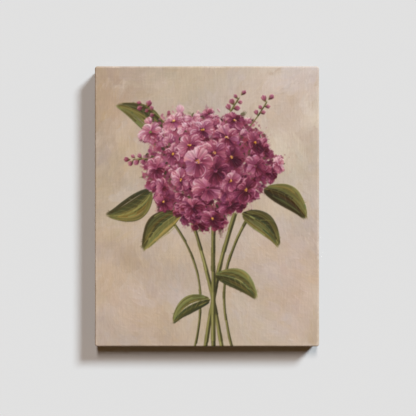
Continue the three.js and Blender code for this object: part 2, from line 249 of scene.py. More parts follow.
class Paint:
    """The layer of paint as it dries: its colour and thickness on a fine raster over the flat cloth."""

    CELL = 0.25
    MARGIN = 21  # of sheet beyond the face, for the sides
    STEP = 0.18  # between the samples of a stroke, less than a cell so that it leaves no holes
    RIDGE = 0.35  # how far inside a mark's edge the pushed-up ridge of paint lies
    BLEND = 0.4
    THREAD = 1.2  # 0.7 mm threads, drawn nearly twice as coarse so that they show

    def __init__(self, face: Pair, seed: int) -> None:
        """Primes a sheet with the ground's middle tone.

        Args:
            face: Half sizes of the picture's face, than which the sheet is a margin bigger each way.
            seed: Of the chance in all that is built.
        """
        self.half = tuple(size + self.MARGIN for size in face)
        self.rng = np.random.default_rng(seed)
        self.grain = Grain(self.rng)
        self.shape = tuple(int(round(2 * size / self.CELL)) + 1 for size in self.half)
        self.colour = np.zeros(self.shape + (3,))
        self.colour[:] = Palette.GROUND.at(0.5)
        self.body = np.zeros(self.shape)
        self.tooth = self._tooth()

    def _tooth(self) -> Array:
        """How high the cloth stands: a cosine across each thread, and chance for the yarn's nubs.

        Returns:
            The height of each cell, 0 to 1.
        """
        u, v = (np.arange(count) * self.CELL for count in self.shape)
        u, v = u[:, None], v[None, :]
        drift = 0.8 * self.grain.at(u / 30, v / 30)
        warp = np.cos(math.tau * (u / self.THREAD + drift))
        weft = np.cos(math.tau * (v / self.THREAD - drift))
        nubs = self.grain.at(u / 0.8 + 7, v / 2.6) + self.grain.at(u / 3.1, v / 0.9 + 5)
        return np.clip(0.5 + 0.16 * warp + 0.07 * weft + 0.20 * nubs, 0, 1)

    def stroke(
        self, points: Array, brush: Brush, colour: Array | None = None, tip: Array | None = None
    ) -> None:
        """Draws the brush along a curve. The samples are a grid: along the curve by across the brush.

        A sample covers where it is inside the mark's width, less a chance that is drawn out along the
        bristles, and less still where the brush runs dry. Its colour then blends into what lies there.

        Args:
            points: Two to four control points of the curve.
            brush: The brush.
            colour: sRGB at the start of the stroke. A brush without one is clean, and each bristle drags on
                the paint that it starts in.
            tip: sRGB at its end, if it changes.
        """
        curve = self._controls(np.asarray(points, float))
        half = brush.width / 2
        length = np.linalg.norm(np.diff(curve, axis=0), axis=1).sum() * 0.97 + 1e-6
        along = np.linspace(0, 1, max(4, int(length / self.STEP) + 2))[:, None]
        across = np.linspace(-1, 1, max(4, int(brush.width / self.STEP) + 2))[None, :]
        middle = bezier(curve, along)
        run = one_long(np.gradient(middle, axis=0))
        side = np.stack([-run[:, 1], run[:, 0]], 1)
        press = np.clip(1 - brush.taper * along**1.5 - brush.lift * (1 - along) ** 2, 0.08, 1)
        hair = self._bristles(across * half / brush.pitch, along * length)
        from_end = np.minimum(along, 1 - along) * length / half
        cap = np.sqrt(np.clip(1 - np.clip(1 - from_end, 0, 1) ** 2, 0, 1))
        inside = (cap - np.abs(across)) * half * press
        cover = np.clip(inside / self.BLEND + 0.2 + brush.ragged * 1.4 * hair, 0, 1)
        if brush.dry > 0:
            left = np.clip((1 - along) / brush.dry, 0, 1)
            cover *= np.clip((left - 0.45 * (1 - hair)) * 3 + 0.6, 0, 1)
        cover *= brush.opacity
        where = middle[:, None, :] + side[:, None, :] * (across * half * press)[..., None]
        if colour is None:
            colour = self.colour[self._cells(where[:1])]
        tint = np.broadcast_to(colour, where.shape[:2] + (3,))
        if tip is not None:
            tint = tint + (tip - colour) * (along**1.2)[..., None]
        tint = tint * (1 + brush.streak * hair[..., None])
        ridge = np.exp(-(((inside - self.RIDGE) / 0.45) ** 2))
        self._lay(where, cover, brush.grip, tint, brush.body * (0.55 + 0.45 * hair + 0.5 * ridge))

    @staticmethod
    def _controls(points: Array) -> Array:
        """Four control points for the curve of two, three or four; the middle of two is halfway.

        Args:
            points: The points of the curve.

        Returns:
            Its control points.
        """
        if len(points) == 4:
            return points
        first, *middle, last = points
        knee = middle[0] if middle else (first + last) / 2
        return np.array([first, (first + 2 * knee) / 3, (last + 2 * knee) / 3, last])

    def _bristles(self, across: Array, along: Array) -> Array:
        """Chance that is fine across the brush and drawn out along the stroke, in two sizes.

        Args:
            across: Places across the brush, in bristles.
            along: Places along the stroke, mm.

        Returns:
            The chance at each, -1 to 1.
        """
        first, second = self.rng.uniform(0, Grain.SIZE, 2)
        coarse = self.grain.at(across + first, along / 14 + second)
        return 0.7 * coarse + 0.3 * self.grain.at(across * 2.3 + second, along / 9 + first)

    def _cells(self, where: Array) -> tuple[Array, Array]:
        """Row and column of the raster's cell nearest to each place."""
        cells = np.rint((where + self.half) / self.CELL).astype(int)
        return tuple(np.clip(cells[..., axis], 0, self.shape[axis] - 1) for axis in (0, 1))

    def _lay(self, where: Array, cover: Array, grip: float, tint: Array, thick: Array) -> None:
        """Blends samples into the raster: old + (new - old) x cover, the paint below partly pushed away.

        Where little is laid, the hollows of the cloth get less: cover - 2 grip (1 - tooth) (1.15 - cover).

        Args:
            where: The samples' places.
            cover: How much each covers, 0 to 1.
            grip: The brush's.
            tint: Their sRGB values.
            thick: Their thickness of paint, mm.
        """
        row, column = self._cells(where)
        cover = np.clip(cover - 2 * grip * (1 - self.tooth[row, column]) * (1.15 - cover), 0, 1)
        on = (np.abs(where) < self.half).all(-1) & (cover > 0.01)
        row, column, cover = row[on], column[on], cover[on]
        old = self.colour[row, column]
        self.colour[row, column] = old + (tint[on] - old) * cover[:, None]
        self.body[row, column] = self.body[row, column] * (1 - 0.55 * cover) + thick[on] * cover

    def settle(self) -> None:
        """Lets the wet paint level: each cell takes a quarter of its neighbours, along u and then v."""
        for axis in (0, 1):
            self.colour, self.body = (
                values / 2 + (np.roll(values, -1, axis) + np.roll(values, 1, axis)) / 4
                for values in (self.colour, self.body)
            )

    def sample(self, values: Array, sheet: Array) -> Array:
        """Values of the raster at places on the cloth, blended between the four nearest cells.

        Args:
            values: The raster's colour or body.
            sheet: The places, mm.

        Returns:
            The values at those places.
        """
        places = np.clip((sheet + self.half) / self.CELL, 0, np.array(self.shape) - 1.001)
        row, column = np.moveaxis(places.astype(int), -1, 0)
        share_x, share_y = np.moveaxis(places % 1, -1, 0)
        if values.ndim == 3:
            share_x, share_y = share_x[..., None], share_y[..., None]
        near = values[row, column] * (1 - share_x) + values[row + 1, column] * share_x
        far = values[row, column + 1] * (1 - share_x) + values[row + 1, column + 1] * share_x
        return near * (1 - share_y) + far * share_y


# ---- The picture ----

LIT_FROM = np.array([-0.55, 0.83])  # where the light inside the picture comes from


@dataclass(frozen=True)
class Bloom:
    """A flower seen at a slant: its disc is squashed along lean, the way it looks, and turned in itself."""

    x: float
    z: float
    radius: float
    squash: float
    lean: float
    turn: float
    petals: int = 6
    value: float = 0.45

    def at(self, rho: float, theta: float) -> Array:
        """A place on the flower.

        Args:
            rho: Share of the radius.
            theta: Angle in the disc.

        Returns:
            The place in the picture, mm.
        """
        flat = unit(theta) * rho * self.radius
        aim = unit(self.lean)
        side = square_to(aim)
        return np.array([self.x, self.z]) + aim * (flat @ aim) * self.squash + side * (flat @ side)


@dataclass(frozen=True)
class Leaf:
    """A broad leaf from base to tip, bowed to one side, its light half on the side of flip."""

    base: Pair
    tip: Pair
    width: float
    bow: float
    value: float
    flip: int = 1

    def at(self, share: float, side: float = 0.0) -> Array:
        """A place on the leaf: the straight line, plus a parabola of the bow to its left, plus a share of
        half the leaf's width, which is a sine arch that is fuller towards the base.

        Args:
            share: From base to tip, 0 to 1.
            side: From the right edge, -1, to the left one, 1.

        Returns:
            The place in the picture, mm.
        """
        start, run = np.array(self.base, float), np.subtract(self.tip, self.base)
        inside = min(max(share, 0.0), 1.0)
        half = self.width / 2 * abs(math.sin(math.pi * inside**0.72)) ** 0.85
        left = square_to(run)
        middle = start + run * share + left * self.bow * 4 * share * (1 - share)
        return middle + left / math.dist(self.base, self.tip) * side * half


@dataclass
class GardenPiece:
    """A loose bunch of garden flowers on a bare ground, painted from the back to the front."""

    paint: Paint
    bunch: Pair = (0, 37)
    bunch_half: Pair = (70, 60)
    knot: Pair = (5, -72)  # where the stems cross
    foot: float = -150
    flowers: int = 24

    GROUND = (  # number of strokes, their lengths and widths, greatest opacity, body, and rise in tone
        (800, (18, 46), (7, 15), 0.85, 0.09, 0.0),
        (3600, (6, 19), (3, 8), 0.6, 0.1, 0.0),
        (420, (2, 8), (0.9, 2.2), 0.4, 0.3, 0.28),
    )
    STEMS = (  # foot, head, width and value
        (-17, (-40, -2), 2.4, 0.34),
        (29, (42, -2), 2.6, 0.38),
        (-4, (26, -4), 3.8, 0.36),
        (17, (-17, -4), 3.4, 0.44),
        (6, (6, -10), 4.4, 0.40),
    )
    SPRIGS = ((0.80, 26), (1.22, 24), (2.28, 22), (3.0, 18))  # angle about the bunch, and length
    LEAVES = (
        Leaf((-40, 60), (-84, 92), 21, -0.14, 0.26),
        Leaf((-50, 14), (-93, -8), 22, 0.14, 0.30),
        Leaf((52, 16), (91, -14), 21, 0.16, 0.26),
        Leaf((-24, -6), (-58, -42), 22, -0.12, 0.36),
        Leaf((32, -6), (66, -38), 20, 0.14, 0.28, -1),
        Leaf((8, -62), (46, -86), 19, 0.16, 0.34),
        Leaf((3, -84), (-32, -108), 16, -0.16, 0.30, -1),
    )

    def render(self) -> None:
        """Paints the whole picture, then lets it settle."""
        self.ground()
        self.along_edges(Palette.WASH, 700, (4.5, 21), (5, 8), 0.95)
        # pale strokes round the front roll: wear, and a painted highlight over the roll's shade
        self.along_edges(Palette.WORN_AND_HIGHLIT, 240, (-1.6, 1.6), (1.0, 2.2), 0.36)
        self.haze(self.bunch, (80, 72), "#b08a94", 260, 0.30)
        self.haze((24, -20), (50, 34), "#b8949f", 110, 0.36)
        self.haze((0, -84), (44, 34), "#a59a7e", 60, 0.22)
        rng = self.paint.rng
        for foot, head, width, value in self.STEMS:
            bend, low = rng.normal(self.knot, 2.5), np.array([foot, self.foot])
            above = bend + (head - bend) * 0.3 + (0, 4)
            self.stem([low, bend + (low - bend) * 0.1, above, head], width, value)
        self.spray(220, 0.92, 1.16)
        self.mass(330, 0.9, 2.3)
        self.mass(1500)
        for leaf in self.LEAVES:
            self.leaf(leaf)
        for angle, length in self.SPRIGS:
            self.sprig(angle, length)
        self.mass(400, 0.9)
        self.half_seen(120)
        for bloom in self.arranged():
            self.bloom(bloom)
        self.spray(60, 0.86, 1.06)
        self.lights(90)
        self.paint.settle()

    def ground(self) -> None:
        """Covers the sheet with broad strokes, scumbles small ones over them, then sets thick pale flecks.

        The tone rises up and to the right, a painted pool of light towards the upper right. It drifts in
        clouds, and so do a yellow tint and a pink one.
        """
        rng, grain = self.paint.rng, self.paint.grain
        wide, high = self.paint.half
        for count, lengths, widths, most, body, lift in self.GROUND:
            for _ in range(count):
                u, v = rng.uniform(-wide, wide), rng.uniform(-high, high)
                slant = math.pi / 2 + 1.6 * float(grain.at(u / 60 + 5, v / 60 + 60))
                reach = unit(rng.normal(slant, 0.45)) * rng.uniform(*lengths) / 2
                bend = square_to(reach) * rng.normal(0, 0.15)
                right, up = u / wide, v / high
                cloud = float(grain.at(u / 34 + 9, v / 28 + 3) + 0.7 * grain.at(u / 13, v / 11 + 40))
                # painted light: the rise up and to the right makes the ground lighter towards the upper
                # right; the clouds are its own tone
                tone = 0.40 + 0.05 * up + 0.10 * right + 0.62 * right * max(up, 0) + 0.22 * cloud + lift
                yellow = float(grain.at(u / 24 + 50, v / 20 + 80)) + rng.normal(0, 0.4)
                pink = float(grain.at(u / 40 + 150, v / 46 + 20)) + rng.normal(0, 0.3)
                tints = np.array([0.010, 0.0, -0.026]) * yellow + np.array([0.008, -0.007, 0.0]) * pink
                colour = Palette.GROUND.at(tone + rng.normal(0, 0.06)) + tints
                width, opacity = rng.uniform(*widths), rng.uniform(0.3, most)
                brush = Brush(width, opacity, body, dry=0.6, ragged=0.7, streak=0.035, pitch=0.6, grip=0.15)
                middle = np.array([u, v])
                self.paint.stroke([middle - reach, middle + bend, middle + reach], brush, colour)

    def along_edges(self, paint: Palette, count: int, band: Pair, widths: Pair, most: float) -> None:
        """Strokes along the four edges, inside a band that is measured out from the face's edge.

        Args:
            paint: The row of paints.
            count: Number of strokes.
            band: Where the band starts and ends.
            widths: Least and greatest width of a stroke.
            most: Greatest opacity.
        """
        rng = self.paint.rng
        face = np.array(self.paint.half) - self.paint.MARGIN
        for _ in range(count):
            upright, sign = rng.random() < 0.55, rng.choice((-1, 1))
            out = sign * (face[0 if upright else 1] + band[0] + (band[1] - band[0]) * rng.random() ** 0.8)
            along = rng.uniform(-1, 1) * (face[1 if upright else 0] + band[1])
            run = rng.uniform(12, 30) * np.array([rng.normal(0, 0.015), 1])
            middle = np.array([out, along])
            ends = [middle - run, middle + rng.normal(0, 0.3, 2), middle + run]
            path = [place if upright else place[::-1] for place in ends]
            opacity = rng.uniform(0.5, 1) * most
            brush = Brush(rng.uniform(*widths), opacity, body=0.03, dry=0.4, ragged=0.5, streak=0.07)
            self.paint.stroke(path, brush, paint.at(rng.uniform(0.1, 0.9)))

    def haze(self, place: Pair, reach: Pair, tint: str, count: int, opacity: float) -> None:
        """Scumbles a thin tint over an oval patch, fainter outwards.

        Args:
            place: Middle of the patch.
            reach: Its half width and half height.
            tint: Hex colour.
            count: Number of strokes.
            opacity: Of the strongest.
        """
        rng = self.paint.rng
        for _ in range(count):
            away = math.sqrt(rng.random())
            middle = place + unit(rng.uniform(0, math.tau)) * reach * away
            run = unit(rng.normal(math.pi / 2 + 0.3, 0.9)) * rng.uniform(4, 11)
            thin = opacity * rng.uniform(0.3, 1.0) * (1 - 0.75 * away)
            width = rng.uniform(4, 10)
            brush = Brush(width, thin, body=0.06, dry=0.8, ragged=0.8, pitch=0.6, grip=0.3)
            knee = middle + rng.normal(0, 2, 2)
            self.paint.stroke([middle - run, knee, middle + run], brush, srgb(tint) + rng.normal(0, 0.014, 3))

    def spot(self, angle: float, away: float) -> Array:
        """The place in the bunch at an angle from its middle, away as a share of its half sizes."""
        return np.array(self.bunch) + self.bunch_half * unit(angle) * away

    def outline(self, angle: float) -> float:
        """How far the bunch reaches at an angle, as a share of its half sizes: a slow, uneven wave."""
        waves = ((3, 0.7, 0.07), (5, 2.6, 0.06), (8, 1.2, 0.04), (13, 0.3, 0.03))
        return 0.88 + sum(size * math.sin(times * angle + start) for times, start, size in waves)

    def shade(self, place: Array) -> float:
        """How light the bunch is at a place, -1 to 1: lighter the further it is towards the light."""
        return float(np.subtract(place, self.bunch) / self.bunch_half @ LIT_FROM)

    def rose(self, value: float) -> Array:
        """A paint of the bloom's row, pushed a little to crimson or to mauve by chance."""
        push = self.paint.rng.normal(0, 1)
        return Palette.BLOOM.at(value) + np.array([0.012, 0.0, -0.016]) * push

    def mass(self, count: int, within: float = 1.0, broad: float = 1.0) -> None:
        """Dabs the body of the bunch: petals half seen, with shaded leaf between them.

        Args:
            count: Number of dabs.
            within: Share of the bunch that they keep to.
            broad: How much bigger than usual they are.
        """
        rng = self.paint.rng
        for _ in range(count):
            angle = rng.uniform(0, math.tau)
            away = rng.random() ** 0.55 * self.outline(angle) * within
            middle = self.spot(angle, away)
            run = unit(angle + rng.normal(0, 0.9)) * rng.uniform(2.5, 6.5) * broad
            if rng.random() < 0.16:
                colour = Palette.LEAF.at(rng.uniform(0.0, 0.3))
            else:
                colour = self.rose(0.36 + 0.15 * self.shade(middle) + rng.normal(0, 0.12))
            width, opacity = rng.uniform(1.8, 4.6) * broad, rng.uniform(0.6, 0.95)
            brush = Brush(width, opacity, body=0.16, taper=0.4, streak=0.1)
            path = [middle - run / 2, middle + rng.normal(0, 1, 2), middle + run / 2]
            self.paint.stroke(path, brush, colour)
            if rng.random() < 0.3:
                self.drag(middle, unit(angle + rng.normal(0, 0.5)), rng.uniform(4, 8), rng.uniform(2, 5))

    def half_seen(self, count: int) -> None:
        """Paints two or three petals of each of many flowers that others hide, outer ones first.

        Args:
            count: Number of such flowers.
        """
        rng = self.paint.rng
        for away in sorted(rng.random(count) ** 0.5, reverse=True):
            angle = rng.uniform(0, math.tau)
            x, z = self.spot(angle, away * self.outline(angle) * 0.93)
            value = 0.42 + 0.22 * self.shade((x, z)) + rng.normal(0, 0.11)
            hidden = Bloom(x, z, rng.uniform(7.5, 12.5), rng.uniform(0.6, 0.95), angle, 0, 6, value)
            for _ in range(int(rng.integers(2, 4))):
                spread, length = rng.uniform(0.36, 0.56), rng.uniform(0.75, 1.05)
                self.petal(hidden, angle + rng.normal(0, 1.0), spread, length, value + rng.normal(0, 0.09))

    def drag(self, start: Array, aim: Array, length: float, width: float, opacity: float = 0.6) -> None:
        """Pulls wet paint along with a clean brush, so that an edge is lost.

        Args:
            start: Where the pull starts.
            aim: Its direction.
            length: Its length, mm.
            width: The brush's, mm.
            opacity: How much of the paint it moves.
        """
        bend = square_to(aim) * self.paint.rng.normal(0, 0.15) * length
        brush = Brush(width, opacity, body=0.06, dry=0.9, streak=0.03, grip=0.3)
        self.paint.stroke([start, start + aim * length / 2 + bend, start + aim * length], brush)

    def spray(self, count: int, near: float, far: float) -> None:
        """Touches loose bits of petal round the bunch, smaller and fainter outwards.

        Args:
            count: Number of touches.
            near: Where they begin, as a share of the bunch's outline.
            far: Where they end.
        """
        rng = self.paint.rng
        for _ in range(count):
            angle, beyond = rng.uniform(0, math.tau), rng.random() ** 1.8
            away = self.outline(angle) * (near + (far - near) * beyond)
            middle = self.spot(angle, away)
            run = unit(rng.uniform(0, math.tau)) * rng.uniform(0.6, 2.2) * (1.3 - beyond)
            width = rng.uniform(1.0, 2.8) * (1.2 - beyond)
            brush = Brush(width, 0.75 - 0.5 * beyond, ragged=0.8)
            colour = self.rose(0.5 + 0.18 * self.shade(middle) + rng.normal(0, 0.12))
            self.paint.stroke([middle - run, middle + run], brush, colour)

    def lights(self, count: int) -> None:
        """Sets thick, short, pale touches on the side of the bunch that is towards the light.

        Args:
            count: Number of touches.
        """
        rng = self.paint.rng
        for _ in range(count):
            angle = rng.normal(2.15, 1.0)
            middle = self.spot(angle, rng.random() ** 0.5 * 0.86)
            run = unit(rng.uniform(0, math.tau)) * rng.uniform(0.7, 2.4)
            brush = Brush(rng.uniform(0.8, 1.5), 0.8, body=0.45, dry=0.6, ragged=0.7, streak=0.04)
            knee = middle + rng.normal(0, 0.6, 2)
            self.paint.stroke([middle - run, knee, middle + run], brush, self.rose(rng.uniform(0.72, 0.98)))

    def stem(self, points: list[Array], width: float, value: float) -> None:
        """Draws a stem in overlapping dabs: a body, a dark side, and a light one towards the light.

        Args:
            points: Four control points, from the foot up.
            width: Of the stem, mm.
            value: Of its green, 0 to 1.
        """
        rng = self.paint.rng
        curve = np.asarray(points, float)
        count = max(2, int(np.linalg.norm(np.diff(curve, axis=0), axis=1).sum() / 20))
        for dab in range(count):
            shares = np.linspace(dab / count, min(1.0, (dab + 1.5) / count), 4)[:, None]
            run = bezier(curve, shares) + rng.normal(0, 0.12, 2)
            aim = one_long(run[-1] - run[0])
            side = square_to(aim) * (1 if square_to(aim) @ LIT_FROM > 0 else -1)
            tone, broad = value + rng.normal(0, 0.06), width * rng.uniform(0.88, 1.12)
            for off, share, opacity, body, lift in (
                (0, 1.0, 0.95, 0.14, 0.0),
                (-0.28, 0.5, 0.8, 0.10, -0.3),
                (0.22, 0.42, 0.8, 0.26, 0.3),
            ):
                if off > 0 and rng.random() < 0.2:
                    continue
                brush = Brush(broad * share, opacity, body=body, dry=0.25, ragged=0.55, streak=0.1, pitch=0.6)
                green = Palette.LEAF.at(tone + lift)
                self.paint.stroke(run + side * broad * off, brush, green, Palette.LEAF.at(tone + lift + 0.06))

    def leaf(self, leaf: Leaf) -> None:
        """Fills a leaf with strokes from base to tip, one half lighter than the other, then draws its ribs.

        Each stroke keeps to a share of the half width, so that all meet at the two ends and the outline is
        whole. Shorter ones over them turn the blade, and a clean brush loses its edge in places.

        Args:
            leaf: Its shape and value.
        """
        rng = self.paint.rng
        for number in range(44):
            late, side = number > 26, rng.choice((-1, 1))
            off = side * rng.uniform(0.0, 0.9)
            ends = rng.uniform(*((0.06, 0.94, 2) if late else ((0, 0.92), (0.08, 1))))
            tone = leaf.value + 0.12 * side * leaf.flip + rng.normal(0, 0.10) + (0.07 if late else 0)
            width = leaf.width * rng.uniform(*((0.08, 0.14) if late else (0.16, 0.24)))
            brush = Brush(width, 0.92, 0.18, 0.2, taper=0.6, lift=0.5, streak=0.28, pitch=0.8)
            brown = np.array([0.02, -0.004, -0.012]) * rng.normal(0, 1)
            path = through([leaf.at(share, off) for share in np.linspace(*sorted(ends), 4)])
            greens = (Palette.LEAF.at(tone + lift) + brown for lift in (-0.04, 0.07))
            self.paint.stroke(path, brush, *greens)
        vein = Brush(0.8, 0.7, body=0.2, dry=0.7, taper=0.6)
        for start in np.linspace(0.1, 0.72, 6):
            for side in (-1, 1):
                path = [leaf.at(start + on, side * off) for on, off in ((0, 0), (0.09, 0.45), (0.2, 0.8))]
                self.paint.stroke(path, vein, Palette.LEAF.at(leaf.value + 0.26 + rng.normal(0, 0.06)))
        rib = Brush(0.9, 0.7, body=0.28, taper=0.6)
        for shares in ((0, 0.15, 0.3, 0.46), (0.42, 0.58, 0.74, 0.92)):
            self.paint.stroke([leaf.at(share) for share in shares], rib, Palette.LEAF.at(leaf.value + 0.42))
        edge = Brush(1.1, 0.7, body=0.34, taper=0.5, lift=0.5, ragged=0.7, pitch=0.6)
        path = through([leaf.at(share, leaf.flip * 0.93) for share in (0.14, 0.38, 0.62, 0.86)])
        self.paint.stroke(path, edge, Palette.LEAF.at(leaf.value + 0.3), Palette.LEAF.at(leaf.value + 0.45))
        for share in rng.uniform(0.2, 0.95, 4):
            side = rng.choice((-1, 1))
            aim = leaf.at(share, side) - leaf.at(share - 0.1)
            self.drag(leaf.at(share, side * 0.7), one_long(aim), 4.5, 3.0, 0.5)

    def sprig(self, angle: float, length: float) -> None:
        """A thin stem that leaves the bunch, with buds by turns on either side and one at its end.

        Args:
            angle: Where it leaves, about the bunch.
            length: Of its stem.
        """
        rng, aim = self.paint.rng, unit(angle)
        start = self.spot(angle, self.outline(angle) - 0.22)
        sway = square_to(aim) * rng.choice((-1, 1)) * 0.2 * length
        bends = ((0, 0), (0.5, 0), (1.0, 0.5), (1.4, 1))
        curve = np.array([start + aim * length * run + sway * turned for run, turned in bends])
        self.stem(curve, 1.5, 0.36)
        shares = np.linspace(0.5, 1.0, 6)
        for number, share in enumerate(shares):
            run = bezier(curve, share) - bezier(curve, share - 0.05)
            turned = 0 if number == len(shares) - 1 else 0.95 * (-1) ** number
            heading = math.atan2(run[1], run[0]) + turned + rng.normal(0, 0.2)
            place = bezier(curve, share) + unit(heading) * rng.uniform(0.5, 2.5)
            self.bud(place, heading, rng.uniform(2.6, 4.2))

    def bud(self, place: Array, angle: float, size: float) -> None:
        """A closed bud: a fan of short petals, dark at their base, and green sepals over it.

        Args:
            place: Its base.
            angle: Where it points.
            size: Half its width, about.
        """
        rng, aim = self.paint.rng, unit(angle)
        side = square_to(aim)
        lit = float(side @ LIT_FROM)
        for slant in rng.permutation(np.linspace(-1, 1, 5)):
            belly = place + aim * size * 0.7 + side * slant * size * 0.75
            tip = place + aim * size * (1.7 - 0.4 * abs(slant)) + side * slant * size * 0.35
            tone = 0.46 + 0.18 * slant * lit + rng.normal(0, 0.07)
            brush = Brush(size * 0.5, 0.95, body=0.26, dry=0.2, taper=0.4, lift=0.3, ragged=0.45, streak=0.08)
            self.paint.stroke([place, belly, tip], brush, self.rose(tone - 0.14), self.rose(tone + 0.16))
        for slant in (-0.8, 0.8):
            tip = place + aim * size * rng.uniform(0.6, 1.0) + side * slant * size * 0.6
            brush = Brush(size * 0.32, 0.9, body=0.2, dry=0.2, taper=0.6, ragged=0.45)
            green = Palette.LEAF.at(0.36 + 0.25 * slant * lit)
            self.paint.stroke([place - aim * size * 0.3, tip], brush, green)

    def arranged(self) -> list[Bloom]:
        """Each next place is the one of many by chance that is furthest from those already taken; outer
        flowers are smaller and look outwards.

        Returns:
            The flowers, outer ones first.
        """
        rng = self.paint.rng
        places = [np.array([-0.12, 0.06])]
        while len(places) < self.flowers:
            tries = []
            for _ in range(60):
                angle = rng.uniform(0, math.tau)
                tries.append(unit(angle) * math.sqrt(rng.random()) * self.outline(angle) * 0.92)
            gaps = [min(math.dist(place, taken) for taken in places) for place in tries]
            places.append(tries[int(np.argmax(gaps))])
        blooms = []
        for place in sorted(places, key=lambda place: -math.hypot(*place)):
            away = math.hypot(*place)
            x, z = np.array(self.bunch) + self.bunch_half * place
            radius = 14.5 - 3.5 * away + rng.normal(0, 1.6)
            lean = math.atan2(place[1], place[0]) + rng.normal(0, 0.25)
            value = 0.45 + 0.22 * float(place @ LIT_FROM) + rng.normal(0, 0.10)
            petals = int(rng.integers(5, 7))
            squash = 0.94 - 0.36 * away + rng.normal(0, 0.06)
            blooms.append(Bloom(x, z, radius, squash, lean, rng.uniform(0, 6), petals, value))
        return blooms

    def bloom(self, bloom: Bloom) -> None:
        """Paints a flower: a shaded bed, petals from the far side to the near one, and its eye.

        Args:
            bloom: The flower.
        """
        rng = self.paint.rng
        for _ in range(16):
            angle = rng.uniform(0, math.tau)
            out = bloom.at(rng.uniform(0.7, 1.06), angle) - LIT_FROM * rng.uniform(0, 2.2)
            brush = Brush(bloom.radius * 0.28, 0.75, body=0.08, dry=0.4, streak=0.08)
            shadow = self.rose(0.12 + 0.3 * bloom.value * rng.random())
            self.paint.stroke([bloom.at(0.2, angle), out], brush, shadow)
        turn = math.tau / bloom.petals
        for number in sorted(range(bloom.petals), key=lambda n: -math.sin(bloom.turn + n * turn)):
            angle = bloom.turn + number * turn + rng.normal(0, 0.10)
            spread = turn * 0.54 * rng.uniform(0.85, 1.1)
            self.petal(bloom, angle, spread, rng.uniform(0.88, 1.06), bloom.value + rng.normal(0, 0.07))
        if rng.random() < 0.7:
            self.eye(bloom)

    def petal(self, bloom: Bloom, angle: float, spread: float, length: float, value: float) -> None:
        """Fans fat strokes from the eye to a blunt tip, then edges the petal with a thick pale line.

        Args:
            bloom: The flower.
            angle: Middle of the petal, in the flower's disc.
            spread: Half its width as an angle.
            length: Its length, as a share of the flower's radius.
            value: Of its colour, 0 to 1.
        """
        rng = self.paint.rng
        look = one_long(bloom.at(length, angle) - bloom.at(0.0, angle))
        lit = 0.5 + 0.5 * float(look @ LIT_FROM)
        light_side = 1 if look[0] * LIT_FROM[1] - look[1] * LIT_FROM[0] > 0 else -1
        base = value + 0.24 * (lit - 0.5)

        def at(slant: float, share: float) -> Array:
            """A place on the petal: it spreads with the root of the share, and its tip is round.

            Args:
                slant: From its right edge, -1, to its left one, 1.
                share: From the eye, 0, to the tip, 1.

            Returns:
                The place in the picture, mm.
            """
            blunt = length * (1 - 0.24 * abs(slant) ** 2.2)
            turned = slant * spread * (0.25 + 0.75 * share**0.5)
            return bloom.at(0.12 + (blunt - 0.12) * share, angle + turned)

        count = max(4, int(bloom.radius / 2.6))
        width = 2.0 * spread * length * bloom.radius / count * 1.2 + 0.8
        for slant in rng.permutation(np.linspace(-0.85, 0.85, count)):
            tone = base + 0.12 * slant * light_side + rng.normal(0, 0.10)
            shares = np.linspace(0.0, rng.uniform(0.95, 1.0), 4)
            broad, opacity = width * rng.uniform(0.8, 1.3), rng.uniform(0.8, 1.0)
            brush = Brush(broad, opacity, body=0.2, dry=0.15, lift=0.5, ragged=0.5, streak=0.2, pitch=0.8)
            path = [at(slant, share) for share in shares]
            self.paint.stroke(path, brush, self.rose(tone - 0.2), self.rose(tone + 0.12))
        if rng.random() < 0.35:
            self.drag(at(rng.uniform(-0.4, 0.4), 0.75), look, bloom.radius * 0.45, 3.0, 0.5)
        if rng.random() < 0.45 + 0.5 * lit:
            side = light_side if rng.random() < 0.75 else -light_side
            rim = ((1.0, 0.5), (0.95, 0.88), (0.45, 1.0), (-0.35, 0.98))
            line = [at(side * slant, share) for slant, share in rim]
            brush = Brush(rng.uniform(0.8, 1.7), 0.85, body=0.45, pitch=0.5)
            self.paint.stroke(line, brush, self.rose(base + 0.32), self.rose(base + 0.50))
        for _ in range(2):
            slant, start = rng.uniform(-0.5, 0.5), rng.uniform(0.3, 0.6)
            brush = Brush(rng.uniform(1.0, 2.2), 0.7, body=0.34, dry=0.6, lift=0.4, ragged=0.7, streak=0.06)
            line = [at(slant, share) for share in (start, start + 0.2, start + 0.38)]
            self.paint.stroke(line, brush, self.rose(base + 0.12), self.rose(base + 0.12 + 0.26 * lit))
        crease = Brush(0.9, 0.6, body=0.05, dry=0.6, taper=0.6, ragged=0.5)
        self.paint.stroke([at(0.1, 0.0), at(0.0, rng.uniform(0.4, 0.65))], crease, self.rose(base - 0.3))

    def eye(self, bloom: Bloom) -> None:
        """Touches a dark hollow, a few thick dabs of gold over it, and a pale one towards the light.

        Args:
            bloom: The flower.
        """
        rng = self.paint.rng
        for _ in range(6):
            angle = rng.uniform(0, math.tau)
            brush = Brush(rng.uniform(1.2, 2.2), 0.8, body=0.06, dry=0.4, taper=0.5, ragged=0.5)
            path = [bloom.at(0.04, angle), bloom.at(rng.uniform(0.2, 0.34), angle)]
            self.paint.stroke(path, brush, self.rose(0.1))
        for dab in range(7):
            middle = bloom.at(0.11 * math.sqrt(rng.random()), rng.uniform(0, math.tau))
            value = 0.34 + 0.07 * dab + rng.normal(0, 0.08)
            reach = unit(rng.uniform(0, math.tau)) * rng.uniform(0.3, 0.9)
            brush = Brush(rng.uniform(1.0, 1.8), 0.9, body=0.5, dry=0.1, ragged=0.4)
            self.paint.stroke([middle - reach, middle + reach], brush, Palette.GOLD.at(value))


# ---- Meshes ----


def quads(ids: Array, flip: bool = False) -> Array:
    """The four-cornered faces of a grid of point numbers, in a row.

    Args:
        ids: Point numbers, as a grid of two dimensions.
        flip: Turns the faces the other way.

    Returns:
        Corner numbers, four to a face.
    """
    corners = [ids[:-1, :-1], ids[1:, :-1], ids[1:, 1:], ids[:-1, 1:]]
    made = np.stack(corners[::-1] if flip else corners, -1)
    return made.reshape(-1, 4)


